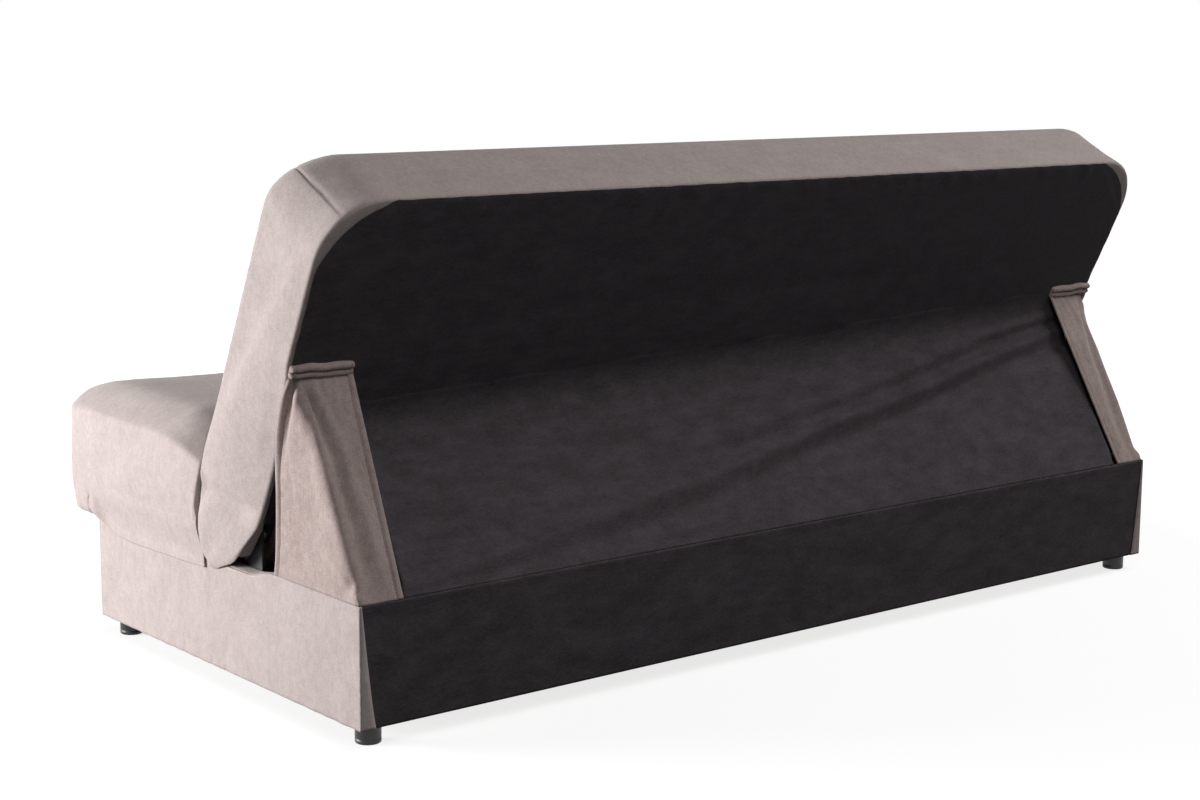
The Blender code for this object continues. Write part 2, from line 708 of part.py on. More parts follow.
def back_rings():
    """Rings of the back cushion: its top corners are round, its front face is crowned."""
    half = []
    for i in range(TURN_STEPS + 1):
        angle = pi / 2 * i / TURN_STEPS
        x = HALF_CUSHION - BACK_CORNER_RADIUS * (1 - cos(angle))
        half.append((x, BACK_LENGTH - BACK_CORNER_RADIUS * (1 - sin(angle))))
    flat = HALF_CUSHION - BACK_CORNER_RADIUS
    half += [(share * flat, BACK_LENGTH) for share in reversed(SPAN_SHARES[1:])]
    stations = half + [(0.0, BACK_LENGTH)] + [(-x, top) for x, top in reversed(half)]
    rings = []
    for x, top in stations:
        past = max(0.0, abs(x) - (HALF_CUSHION - CUSHION_EDGE))
        drop = CUSHION_EDGE - sqrt(max(0.0, CUSHION_EDGE**2 - past**2))
        swell = 1 - (x / HALF_CUSHION) ** 2
        corners = back_corners(top, drop, BACK_CROWN * swell)
        rings.append([(x, across, along) for across, along in rounded(corners)])
    return rings


def add_cut(target, cutter):
    cut = target.modifiers.new(cutter.name, "BOOLEAN")
    cut.operation = "DIFFERENCE"
    cut.object = cutter


def make_cutters(cutters):
    """The recess for the back's frame, and the two pockets for its hinges."""
    half = ARM_OUTER + 2 * GAP
    found = [
        cutters.box(
            "frame_recess",
            "board",
            (-half, half),
            (CUSHION_REAR - OVERRUN, BACK_FRAME_FRONT + GAP),
            (BACK_FRAME_START - GAP, BACK_FRAME_TOP + GAP),
        )
    ]
    for word, side in SIDES:
        found.append(
            cutters.box(
                "hinge_pocket_" + word,
                "board",
                mirrored(side, HALF_CUSHION - POCKET_INSIDE, HALF_CUSHION - POCKET_WALL),
                (CUSHION_REAR - OVERRUN, BACK_FRONT + OVERRUN),
                (-BACK_LENGTH, BACK_FRAME_START),
            )
        )
    for cutter in found:
        cutter.hide_render = True
        cutter.display_type = "WIRE"
    return found


def panel_outline(half, low, high, radius):
    """A panel with two round top corners, as (x, along) points."""
    outline = [(-half, low), (half, low)]
    for centre, first in ((half - radius, 0.0), (radius - half, pi / 2)):
        for i in range(PANEL_CORNER_STEPS + 1):
            angle = first + pi / 2 * i / PANEL_CORNER_STEPS
            outline.append((centre + radius * cos(angle), high - radius + radius * sin(angle)))
    return outline


def make_panel(back):
    """The stretched cloth over the rear of the back."""
    curve = bpy.data.curves.new("back_panel", "CURVE")
    curve.dimensions = "2D"
    curve.fill_mode = "BOTH"
    curve.extrude = PANEL_THICKNESS / 2
    half = HALF_CUSHION - PANEL_MARGIN
    top = BACK_LENGTH - BACK_TOP_SLOPE - PANEL_TOP_MARGIN
    outline = panel_outline(half, BACK_FRAME_START, top, BACK_CORNER_RADIUS - PANEL_MARGIN)
    spline = curve.splines.new("POLY")
    spline.points.add(len(outline) - 1)
    spline.use_cyclic_u = True
    for point, (x, along) in zip(spline.points, outline):
        point.co = (x, along, 0, 1)
    place = (0, -(PANEL_REAR + PANEL_THICKNESS / 2), 0)
    back.add("back_panel", curve, "nonwoven", place, (pi / 2, 0, 0))


def make_back(back, cutters):
    """The back cushion, its frame, springs, rear panel, straps and hinge arms."""
    cushion = back.loft("back_cushion", "fabric", back_rings())
    for cutter in make_cutters(cutters):
        add_cut(cushion, cutter)
    depth = (BACK_FRAME_REAR, BACK_FRAME_FRONT)
    low = (BACK_FRAME_START, BACK_FRAME_START + RAIL_WIDTH)
    high = (BACK_FRAME_TOP - RAIL_WIDTH, BACK_FRAME_TOP)
    between = (low[1] + GAP, high[0] - GAP)
    full = (-FRAME_HALF, FRAME_HALF)
    back.box("back_bottom_rail", "wood", full, depth, low, BOARD_EDGE)
    back.box("back_top_rail", "wood", full, depth, high, BOARD_EDGE)
    back.box("back_mid_rail", "wood", (-RAIL_WIDTH / 2, RAIL_WIDTH / 2), depth, between, BOARD_EDGE)
    make_panel(back)
    arm = bar_outline(
        (0.0, 0.0),
        (-BACK_ARM_OFFSET, BACK_ARM_LENGTH),
        ARM_WIDTH / 2,
    )
    hole = PIN_RADIUS + PIN_CLEARANCE
    for word, side in SIDES:
        rail = mirrored(side, FRAME_HALF - RAIL_WIDTH, FRAME_HALF)
        back.box("back_side_rail_" + word, "wood", rail, depth, between, BOARD_EDGE)
        arm_span = mirrored(side, ARM_OUTER - PLATE_THICKNESS, ARM_OUTER)
        back.plate("back_arm_" + word, "steel", arm, arm_span, (((0.0, 0.0), hole),))
        outer = HALF_CUSHION - STRAP_INSET
        back.box(
            "wing_strap_" + word,
            "fabric",
            mirrored(side, outer - STRAP_WIDTH, outer),
            (PANEL_REAR - GAP - STRAP_THICKNESS, PANEL_REAR - GAP),
            (STRAP_ALONG, STRAP_ALONG + STRAP_HEIGHT),
        )
    for number, share in enumerate(SPRING_PLACE_SHARES, 1):
        x = share * FRAME_HALF
        across = BACK_FRAME_FRONT - SPRING_DEPTH
        places = [(x + offset, across, along) for offset, along in zigzag_path(*between)]
        back.zigzag("back_spring_" + str(number), "zinc", places)


def between_points(a, b, share):
    return a[0] + (b[0] - a[0]) * share, a[1] + (b[1] - a[1]) * share


def wing_columns():
    """(top x share, bottom x, bottom forward, fold) for each column of a wing, from its front hem."""
    stand = COVER_THICKNESS / 2
    corner_x = HALF_BASE - stand
    columns = []
    for i in range(WING_SIDE_STEPS + 1):
        share = i / WING_SIDE_STEPS
        forward = WING_FRONT + (stand - WING_FRONT) * share
        columns.append((WING_TOP_FOLD_SHARE * share, corner_x, forward, sin(pi * share) ** 2))
    for i in range(1, WING_REAR_STEPS + 1):
        share = i / WING_REAR_STEPS
        top = WING_TOP_FOLD_SHARE + (1 - WING_TOP_FOLD_SHARE) * share
        columns.append((top, corner_x - WING_REAR_WIDTH * share, stand, -sin(pi * share) / 2))
    return columns


def wing_rows(side):
    """A wing hangs from its strap and stands on the top of the box, round its rear corner."""
    top_place = on_side_view(PANEL_REAR - CLOTH_STAND - CLOTH_THICKNESS / 2, STRAP_ALONG - CLOTH_STAND)
    outer = HALF_CUSHION - STRAP_INSET
    foot_up = COVER_REAR_TOP + GAP + CLOTH_THICKNESS / 2
    rows = []
    for j in range(WING_ROWS + 1):
        down = j / WING_ROWS
        row = []
        for top_share, foot_x, foot_forward, fold in wing_columns():
            x = outer - top_share * STRAP_WIDTH
            inward = WING_FOLD_DEPTH * fold * sin(pi * down)
            x += (foot_x - x) * down - inward
            forward = top_place[0] + (foot_forward - top_place[0]) * down
            up = top_place[1] + (foot_up - top_place[1]) * down
            row.append((side * x, forward, up))
        rows.append(row)
    return rows


def curtain_rows():
    """The dust curtain, from the rear of the back down to the rear of the box."""
    across = PANEL_REAR - CLOTH_STAND
    top_place = on_side_view(across, CURTAIN_ALONG)
    foot_place = (CURTAIN_THICKNESS, COVER_REAR_TOP + GAP + CURTAIN_THICKNESS / 2)
    run = Vector(top_place) - Vector(foot_place)
    out = Vector((-run[1], run[0])).normalized()
    top_half = HALF_CUSHION - CURTAIN_TOP_INSET
    foot_half = HALF_CUSHION - CURTAIN_FOOT_INSET
    rows = []
    for j in range(CURTAIN_ROWS + 1):
        down = j / CURTAIN_ROWS
        half = top_half + (foot_half - top_half) * down
        forward, up = between_points(top_place, foot_place, down)
        row = []
        for i in range(CURTAIN_COLUMNS + 1):
            share = i / CURTAIN_COLUMNS
            bulge = curtain_fold(share, down)
            row.append(((2 * share - 1) * half, forward + bulge * out[0], up + bulge * out[1]))
        rows.append(row)
    return rows


def curtain_fold(share, down):
    """How far the curtain is drawn out by the tension folds that fan from one upper corner."""
    height = 0.0
    for start, end, end_down in CURTAIN_FOLD_SHARES:
        reach = (share - start) / (end - start)
        line = 1 - (1 - end_down) * (1 - reach) if end_down > reach else reach
        offset = (down - line) / CURTAIN_FOLD_WIDTH_SHARE
        height += CURTAIN_FOLD_DEPTH / (1 + offset**2) * sin(pi * down) * sin(pi * share)
    return height


def make_cloth(base):
    """The cloth between the box and the back."""
    for word, side in SIDES:
        base.cloth("wing_" + word, "fabric", wing_rows(side), CLOTH_THICKNESS)
    base.cloth("dust_curtain", "nonwoven", curtain_rows(), CURTAIN_THICKNESS)


def main():
    clear_scene()
    parts = new_collection("armless_sofa_bed")
    cutters = new_collection("cutters")
    cutters.hide_render = True
    root = empty(parts, "box_frame", None, -REAR_Y, 0.0)
    hinge = empty(parts, "back_recline_axis", root, HINGE_FORWARD, HINGE_UP, (-BACK_LEAN, 0, 0))
    link_axis = empty(parts, "link_swing_axis", root, *LINK_FOOT)
    seat_axis = empty(parts, "seat_lift_axis", root, *SEAT_PIN)
    base = Maker(parts, root)
    make_box(base)
    make_brackets(base)
    make_links(Maker(parts, link_axis, LINK_FOOT))
    make_seat(Maker(parts, seat_axis, SEAT_PIN))
    make_back(Maker(parts, hinge), Maker(cutters, hinge))
    make_cloth(base)


main()
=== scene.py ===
"""The looks of an armless sofa bed: padded cushions, cloth covers, wings and a dust curtain.

Lengths are in metres. A place in the side view is written (forward, up), with forward counted
from the rear face of the box. On the back the same pair is (across, along): from its hinge
through its thickness, and up its length.
"""

import json
from math import cos, pi, radians, sin, sqrt

import bmesh
import bpy
import numpy as np
from mathutils import Matrix, Vector
from mathutils.kdtree import KDTree


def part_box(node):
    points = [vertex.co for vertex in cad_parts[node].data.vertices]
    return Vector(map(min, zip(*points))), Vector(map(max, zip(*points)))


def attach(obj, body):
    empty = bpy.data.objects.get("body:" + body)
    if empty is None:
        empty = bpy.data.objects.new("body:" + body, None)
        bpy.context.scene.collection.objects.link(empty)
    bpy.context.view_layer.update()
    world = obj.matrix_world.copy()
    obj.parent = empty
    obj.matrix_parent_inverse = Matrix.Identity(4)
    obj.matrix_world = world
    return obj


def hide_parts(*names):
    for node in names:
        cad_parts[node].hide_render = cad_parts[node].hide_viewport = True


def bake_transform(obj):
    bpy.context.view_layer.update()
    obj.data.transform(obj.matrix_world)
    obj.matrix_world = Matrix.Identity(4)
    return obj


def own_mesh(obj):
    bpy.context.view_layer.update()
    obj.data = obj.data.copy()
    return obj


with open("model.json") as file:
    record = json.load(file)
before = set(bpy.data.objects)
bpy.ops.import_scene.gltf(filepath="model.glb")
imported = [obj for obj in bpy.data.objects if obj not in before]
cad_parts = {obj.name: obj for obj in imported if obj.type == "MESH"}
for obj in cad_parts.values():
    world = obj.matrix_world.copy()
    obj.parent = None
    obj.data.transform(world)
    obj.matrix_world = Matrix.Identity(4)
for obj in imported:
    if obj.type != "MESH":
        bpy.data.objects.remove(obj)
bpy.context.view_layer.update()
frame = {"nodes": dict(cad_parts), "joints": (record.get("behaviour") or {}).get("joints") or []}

SIDES = (("left", 1), ("right", -1))
UP = Vector((0, 0, 1))


def lowest(node):
    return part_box(node)[0]


def highest(node):
    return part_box(node)[1]


# Sizes read from the frame
REAR_Y = highest("rear_cover").y
HALF_BOX = highest("side_cover_left").x
BOX_FRONT = REAR_Y - lowest("front_cover").y
BOX_BOTTOM = lowest("rear_cover").z
BOX_TOP = highest("front_cover").z
BOX_REAR_TOP = highest("rear_cover").z
HALF_CUSHION = highest("back_cushion").x
SEAT_FRONT = REAR_Y - lowest("seat_cushion").y
SEAT_UNDERSIDE = lowest("seat_cushion").z
RAIL_TOP = highest("seat_front_rail").z
PIVOT = Vector(next(j["pos_m"] for j in frame["joints"] if j["name"] == "back_recline"))
HINGE = (REAR_Y - PIVOT.y, PIVOT.z)

# The back, in its own frame
LEAN = radians(26)
BACK_LENGTH = 0.66
BACK_REAR = -0.0302
BACK_FRONT = 0.150
PANEL_ACROSS = -0.0325


def on_box(x, forward, up):
    """World points from the side view. Each value is a number or an array."""
    return np.stack(np.broadcast_arrays(x, REAR_Y - np.asarray(forward), up), axis=-1).astype(float)


def on_back(x, across, along):
    """World points from the back's own frame at rest."""
    across, along = np.asarray(across), np.asarray(along)
    forward = HINGE[0] + across * cos(LEAN) - along * sin(LEAN)
    return on_box(x, forward, HINGE[1] + across * sin(LEAN) + along * cos(LEAN))


# Shapes of folds and waves


def ease(value, start, end):
    """Goes smoothly from 0 at start to 1 at end."""
    share = np.clip((value - start) / (end - start), 0, 1)
    return share * share * (3 - 2 * share)


def fade(value, start, end):
    """Goes smoothly from 1 at start to 0 at end."""
    return 1 - ease(value, start, end)


def window(value, opens, opened, closes, closed):
    """Goes smoothly from 0 up to 1, and later back to 0."""
    return ease(value, opens, opened) * fade(value, closes, closed)


def read(table, place):
    """The value at a place in a table of (place, value) rows."""
    table = np.asarray(table)
    return np.interp(place, table[:, 0], table[:, 1])


def hill(offset, width):
    """A smooth hill, 1 at its middle."""
    return np.exp(-((offset / width) ** 2))


def ripple(distance, wavelength, seed, count=5):
    """An uneven wave of height about 1, of several lengths near the one given."""
    random = np.random.default_rng(seed)
    total = np.zeros_like(np.asarray(distance, float))
    for _ in range(count):
        length = wavelength * random.uniform(0.6, 1.6)
        total += np.sin(2 * pi * distance / length + random.uniform(0, 2 * pi))
    return total / sqrt(count)


def bend(start, corner, end, share):
    """A point of the soft bend from start to end that is drawn towards a corner."""
    return start * (1 - share) ** 2 + 2 * corner * share * (1 - share) + end * share**2


def smooth_line(points, spans=8):
    """A smooth line through points: each span is a Catmull-Rom curve."""
    points = np.asarray(points, float)
    padded = np.vstack([2 * points[0] - points[1], points, 2 * points[-1] - points[-2]])
    share = np.linspace(0, 1, spans, endpoint=False)[:, None]
    line = []
    for a, b, c, d in zip(padded, padded[1:], padded[2:], padded[3:]):
        square = 2 * a - 5 * b + 4 * c - d
        cube = 3 * (b - c) + d - a
        line.append(b + (share * (c - a) + share**2 * square + share**3 * cube) / 2)
    return np.vstack([*line, points[-1:]])


# Meshes


def new_object(name, points, faces, material):
    mesh = bpy.data.meshes.new(name)
    mesh.from_pydata([tuple(p) for p in points], [], faces)
    mesh.shade_smooth()
    mesh.materials.append(material)
    obj = bpy.data.objects.new(name, mesh)
    bpy.context.scene.collection.objects.link(obj)
    return obj


def closed_body(name, points, faces, finish):
    """A new object whose faces all look outwards."""
    obj = new_object(name, points, faces, FINISHES[finish])
    shape = bmesh.new()
    shape.from_mesh(obj.data)
    bmesh.ops.recalc_face_normals(shape, faces=shape.faces)
    shape.to_mesh(obj.data)
    shape.free()
    return obj


def quads(index):
    """The faces between the rows of an array of vertex numbers."""
    a, b, c, d = index[:-1, :-1], index[:-1, 1:], index[1:, 1:], index[1:, :-1]
    return np.stack([a, b, c, d], axis=-1).reshape(-1, 4).tolist()


def ring_faces(rows, around, start=0):
    """The vertex numbers of closed rings, the faces between them, and a face for each end."""
    index = start + np.arange(rows * around).reshape(rows, around)
    ends = [index[0, ::-1].tolist(), index[-1].tolist()]
    return index, quads(np.hstack([index, index[:, :1]])), ends


def run_along(line):
    """The length of a line up to each of its points."""
    return np.concatenate([[0], np.cumsum(np.linalg.norm(np.diff(line, axis=0), axis=1))])


def points_at(line, run, stops):
    """The points of a line at the given stops. run says where its own points are."""
    return np.stack([np.interp(stops, run, column) for column in line.T], axis=-1)


def unit(vectors):
    """The same vectors with a length of 1."""
    return vectors / np.maximum(np.linalg.norm(vectors, axis=-1, keepdims=True), 1e-12)


def grid_normals(grid):
    """A unit vector square to the sheet at each point."""
    return unit(np.cross(np.gradient(grid, axis=1), np.gradient(grid, axis=0)))


def facing(normals, direction):
    """The same normals, turned round where they look away from a direction."""
    return normals * np.sign((normals * np.array(direction)).sum(axis=-1, keepdims=True))


def cloth(name, grid, thickness, finish):
    """A closed sheet of cloth about a grid of points. Its thickness may vary over it."""
    rows, columns = grid.shape[:2]
    half = grid_normals(grid) * (np.broadcast_to(thickness, (rows, columns)) / 2)[..., None]
    points = np.concatenate([(grid + half).reshape(-1, 3), (grid - half).reshape(-1, 3)])
    front = np.arange(rows * columns).reshape(rows, columns)
    back = front + rows * columns
    faces = quads(front) + quads(back[:, ::-1])
    rim = np.concatenate([front[0], front[1:, -1], front[-1, -2::-1], front[-2:0:-1, 0]])
    for a, b in zip(rim, np.roll(rim, -1)):
        faces.append([int(b), int(a), int(a + rows * columns), int(b + rows * columns)])
    return closed_body(name, points, faces, finish)


def ringed(name, rings, finish):
    """A closed body through rings of points."""
    _, faces, ends = ring_faces(len(rings), len(rings[0]))
    return closed_body(name, np.concatenate(rings), faces + ends, finish)


THREAD_SIDES = 5
STITCH = 0.0030
STITCH_PITCH = 0.0042
ROD_RINGS = ((0, 0.55, -0.45), (0, 1, 0), (1, 1, 0), (2, 1, 0), (2, 0.55, 0.45))


def sewn(name, lines, radius):
    """A row of stitches along each line: short round rods of thread with rounded ends."""
    angles = 2 * pi * np.arange(THREAD_SIDES)[:, None] / THREAD_SIDES
    points, faces = [], []
    for line in lines:
        run = run_along(line)
        for start in np.arange(STITCH_PITCH / 2, run[-1] - STITCH, STITCH_PITCH):
            path = points_at(line, run, start + STITCH * np.array((0, 0.5, 1)))
            ahead = unit(np.gradient(path, axis=0))
            side = unit(np.cross(ahead, UP))
            over = np.cross(side, ahead)
            rings = []
            for k, scale, step in ROD_RINGS:
                turn = side[k] * np.cos(angles) + over[k] * np.sin(angles)
                rings.append(path[k] + ahead[k] * (step * radius) + turn * radius * scale)
            _, round_faces, ends = ring_faces(len(rings), THREAD_SIDES, len(points))
            points.extend(np.concatenate(rings))
            faces += round_faces + ends
    return closed_body(name, points, faces, "thread")


# A padded body: rings about its middle, and a grid that closes each end

STEPS_ROUND = 13
# The points stand closer at these distances from a corner's middle, so the seams stay fine.
NEAR_SEAM = np.array((0.0, 0.0012, 0.0035, 0.008, 0.015))


def round_outline(half, low, high, low_radius, high_radius, counts):
    """Points round a rectangle with round corners, from the middle of its first corner."""
    corners = (
        (-half + low_radius, low + low_radius, low_radius, 225),
        (half - low_radius, low + low_radius, low_radius, 315),
        (half - high_radius, high - high_radius, high_radius, 45),
        (-half + high_radius, high - high_radius, high_radius, 135),
    )
    ring = []
    for k in range(4):
        dense = []
        for corner, turns in ((corners[k], (0, 45)), (corners[(k + 1) % 4], (-45, 0))):
            x, y, radius, angle = corner
            sweep = np.radians(angle + np.linspace(*turns, STEPS_ROUND))
            dense.append(np.stack([x + radius * np.cos(sweep), y + radius * np.sin(sweep)], axis=1))
        dense = np.concatenate(dense)
        run = run_along(dense)
        middle = np.linspace(NEAR_SEAM[-1], run[-1] - NEAR_SEAM[-1], counts[k % 2] + 1)
        stops = np.concatenate([NEAR_SEAM[:-1], middle, run[-1] - NEAR_SEAM[-2::-1]])[:-1]
        ring.append(points_at(dense, run, stops))
    return np.concatenate(ring)


def side_counts(counts):
    """How many steps the two sides of a ring have, with the closer points near their ends."""
    return tuple(count + 2 * (len(NEAR_SEAM) - 1) for count in counts)


def across_grid(ring, counts):
    """The plane grid between the four sides of a ring, and the ring's numbers along its border."""
    wide, tall = side_counts(counts)
    total = 2 * (wide + tall)
    number = np.full((wide + 1, tall + 1), -1)
    number[:, 0] = np.arange(wide + 1)
    number[-1, :] = wide + np.arange(tall + 1)
    number[:, -1] = 2 * wide + tall - np.arange(wide + 1)
    number[0, :] = (total - np.arange(tall + 1)) % total
    low, high = ring[number[:, 0]], ring[number[:, -1]]
    left, right = ring[number[0, :]], ring[number[-1, :]]

    def shares(*lines):
        return sum(run / run[-1] for run in map(run_along, lines)) / 2

    s, t = shares(low, high)[:, None, None], shares(left, right)[None, :, None]
    grid = low[:, None] * (1 - t) + high[:, None] * t + left[None] * (1 - s) + right[None] * s
    grid -= (low[0] * (1 - s) + low[-1] * s) * (1 - t) + (high[0] * (1 - s) + high[-1] * s) * t
    return grid, number


def padded_body(name, stations, outline, place, counts):
    """A closed skin. outline gives a station's plane ring, and place puts it in the world."""
    rings = [outline(station) for station in stations]
    points = [place(ring, station) for ring, station in zip(rings, stations)]
    index, faces, _ = ring_faces(len(rings), len(rings[0]))
    used = index.size
    for which in (0, -1):
        grid, number = across_grid(rings[which], counts)
        inner = grid[1:-1, 1:-1].reshape(-1, 2)
        number = np.where(number < 0, 0, index[which][number])
        number[1:-1, 1:-1] = used + np.arange(len(inner)).reshape(grid[1:-1, 1:-1].shape[:2])
        points.append(place(inner, stations[which]))
        used += len(inner)
        faces += quads(number)
    return closed_body(name, np.concatenate(points), faces, "upholstery")


def points_of(mesh):
    flat = np.empty(len(mesh.vertices) * 3, np.float32)
    mesh.vertices.foreach_get("co", flat)
    return flat.reshape(-1, 3).astype(float)


def set_points(mesh, points):
    mesh.vertices.foreach_set("co", points.astype(np.float32).ravel())
    mesh.update()


def applied(obj):
    """Bakes an object's modifiers into its mesh."""
    graph = bpy.context.evaluated_depsgraph_get()
    mesh = bpy.data.meshes.new_from_object(obj.evaluated_get(graph))
    obj.modifiers.clear()
    obj.data = mesh


VOXEL = 0.011
SWELL_LIMIT = 0.003
SIMULATED_FRAMES = 20
NEIGHBOURS = 5
CLOTH_SETTINGS = {
    "quality": 6,
    "mass": 0.3,
    "tension_stiffness": 12,
    "compression_stiffness": 12,
    "shear_stiffness": 6,
    "bending_stiffness": 2.0,
    "use_pressure": True,
    "uniform_pressure_force": 3.0,
    "shrink_min": -0.002,
    "vertex_group_mass": "pins",
}


def simulated(body, freedom):
    """The points of a remeshed copy of a body, and how far a cloth simulation moves each."""
    scene = bpy.context.scene
    copy = body.copy()
    copy.data = body.data.copy()
    scene.collection.objects.link(copy)
    remesh = copy.modifiers.new("even mesh", "REMESH")
    remesh.mode = "VOXEL"
    remesh.voxel_size = VOXEL
    applied(copy)
    before = points_of(copy.data)
    pins = copy.vertex_groups.new(name="pins")
    held = np.nonzero(freedom(before) <= 0)[0]
    pins.add([int(i) for i in held], 1.0, "REPLACE")
    modifier = copy.modifiers.new("cloth", "CLOTH")
    for key, value in CLOTH_SETTINGS.items():
        setattr(modifier.settings, key, value)
    modifier.settings.effector_weights.gravity = 0
    modifier.collision_settings.use_collision = False
    for number in range(1, SIMULATED_FRAMES + 1):
        scene.frame_set(number)
    graph = bpy.context.evaluated_depsgraph_get()
    move = points_of(copy.evaluated_get(graph).data) - before
    length = np.linalg.norm(move, axis=1, keepdims=True)
    scene.frame_set(1)
    bpy.data.objects.remove(copy, do_unlink=True)
    return before, move * np.minimum(1, SWELL_LIMIT / np.maximum(length, 1e-9))


def stuffed(body, freedom):
    """Swells a body as its stuffing does. freedom says how far each place may give, from 0 to 1."""
    before, move = simulated(body, freedom)
    tree = KDTree(len(before))
    for i, point in enumerate(before):
        tree.insert(point, i)
    tree.balance()
    points = points_of(body.data)
    moved = points.copy()
    allowed = freedom(points)
    for i in np.nonzero(allowed > 0)[0]:
        near = tree.find_n(points[i], NEIGHBOURS)
        weights = np.array([1 / (distance + VOXEL / 4) for _, _, distance in near])
        pull = sum(w * move[j] for w, (_, j, _) in zip(weights, near)) / weights.sum()
        moved[i] += allowed[i] * pull
    set_points(body.data, moved)


# Finishes


class Nodes:
    """A node tree whose nodes are added one by one."""

    def __init__(self, owner):
        owner.use_nodes = True
        self.tree = owner.node_tree

    def add(self, kind, links=(), **values):
        node = self.tree.nodes.new(kind)
        for key, value in values.items():
            setattr(node, key, value)
        for socket, source in dict(links).items():
            if isinstance(source, bpy.types.NodeSocket):
                self.tree.links.new(source, node.inputs[socket])
            else:
                node.inputs[socket].default_value = source
        return node

    def range(self, value, low, high, new_low=0.0, new_high=1.0):
        links = {"Value": value, "From Min": low, "From Max": high}
        links |= {"To Min": new_low, "To Max": new_high}
        return self.add("ShaderNodeMapRange", links).outputs["Result"]

    def math(self, operation, a, b):
        return self.add("ShaderNodeMath", {0: a, 1: b}, operation=operation).outputs[0]

    def seen(self):
        """1 where the camera, metal or glass shows a thing, 0 where it only lights others."""
        path = self.add("ShaderNodeLightPath").outputs
        direct = self.math("MAXIMUM", path["Is Camera Ray"], path["Is Glossy Ray"])
        return self.math("MAXIMUM", direct, path["Is Transmission Ray"])


class Finish(Nodes):
    """A material built from noises, tones and bumps over the object's own coordinates."""

    def __init__(self, name, roughness, metallic=0.0):
        self.material = bpy.data.materials.new(name)
        super().__init__(self.material)
        self.shader = self.tree.nodes["Principled BSDF"]
        self.shader.inputs["Roughness"].default_value = roughness
        self.shader.inputs["Metallic"].default_value = metallic
        self.place = self.add("ShaderNodeTexCoord").outputs["Object"]

    def stretched(self, x, y, z):
        """The object's coordinates, scaled by unlike amounts."""
        node = self.add("ShaderNodeVectorMath", {0: self.place}, operation="MULTIPLY")
        node.inputs[1].default_value = (x, y, z)
        return node.outputs[0]

    def noise(self, scale, detail, place=None, roughness=0.5):
        links = {"Vector": place or self.place, "Scale": scale, "Detail": detail}
        return self.add("ShaderNodeTexNoise", links | {"Roughness": roughness}).outputs["Fac"]

    def cells(self, scale):
        links = {"Vector": self.place, "Scale": scale}
        return self.add("ShaderNodeTexVoronoi", links).outputs["Distance"]

    def mix(self, share, a, b):
        """A colour between two colours or sockets."""
        node = self.add("ShaderNodeMix", data_type="RGBA")
        for socket, value in ((0, share), (6, a), (7, b)):
            if isinstance(value, bpy.types.NodeSocket):
                self.tree.links.new(value, node.inputs[socket])
            else:
                node.inputs[socket].default_value = value if socket == 0 else (*value, 1)
        return node.outputs[2]

    def color(self, socket):
        self.tree.links.new(socket, self.shader.inputs["Base Color"])

    def tones(self, dark, light, *layers):
        """A colour whose lightness is the sum of (value, low, high, amount) layers."""
        parts = [self.range(value, low, high, 0, amount) for value, low, high, amount in layers]
        total = parts[0]
        for part in parts[1:]:
            total = self.math("ADD", total, part)
        self.color(self.mix(total, dark, light))

    def rough(self, value, low, high, smoothest, roughest):
        socket = self.range(value, low, high, smoothest, roughest)
        self.tree.links.new(socket, self.shader.inputs["Roughness"])

    def bumps(self, *layers):
        """Bump from (height, strength, depth) layers, one over another."""
        normal = None
        for height, strength, depth in layers:
            links = {"Height": height, "Strength": strength, "Distance": depth}
            if normal:
                links["Normal"] = normal
            normal = self.add("ShaderNodeBump", links).outputs["Normal"]
        self.tree.links.new(normal, self.shader.inputs["Normal"])

    def sheen(self, weight, roughness, tint):
        self.shader.inputs["Sheen Weight"].default_value = weight
        self.shader.inputs["Sheen Roughness"].default_value = roughness
        self.shader.inputs["Sheen Tint"].default_value = (*tint, 1)


def chenille(name, light, dark, nap):
    """Heathered chenille: flecked yarns, a soft mottled nap and faint blotches."""
    finish = Finish(name, 0.94)
    fleck = finish.noise(500, 3, roughness=0.75)
    yarn = finish.noise(240, 2, finish.stretched(1, 1, nap), roughness=0.6)
    mottle = finish.noise(85, 4, finish.stretched(1, 1, 0.8), roughness=0.7)
    blotch = finish.noise(17, 3, roughness=0.6)
    finish.tones(
        dark,
        light,
        (fleck, 0.32, 0.68, 0.52),
        (yarn, 0.3, 0.7, 0.12),
        (mottle, 0.35, 0.65, 0.22),
        (blotch, 0.35, 0.65, 0.14),
    )
    finish.bumps(
        (finish.cells(820), 0.40, 0.0005),
        (fleck, 0.30, 0.0006),
        (mottle, 0.22, 0.0016),
        (blotch, 0.12, 0.004),
    )
    finish.sheen(0.25, 0.45, (1.0, 0.93, 0.90))
    return finish.material


def spunbond(name, light, dark):
    """Lining cloth: pressed fibres with a fine grid of weld dots."""
    finish = Finish(name, 0.62)
    fibre = finish.noise(420, 4, finish.stretched(0.35, 1, 1), roughness=0.75)
    cloud = finish.noise(34, 4, finish.stretched(0.5, 1, 1), roughness=0.65)
    finish.tones(dark, light, (fibre, 0.3, 0.7, 0.6), (cloud, 0.35, 0.65, 0.4))
    finish.rough(cloud, 0.3, 0.7, 0.55, 0.70)
    finish.bumps((finish.cells(480), 0.25, 0.0003), (fibre, 0.45, 0.0004), (cloud, 0.15, 0.002))
    finish.shader.inputs["Specular IOR Level"].default_value = 0.02
    return finish.material


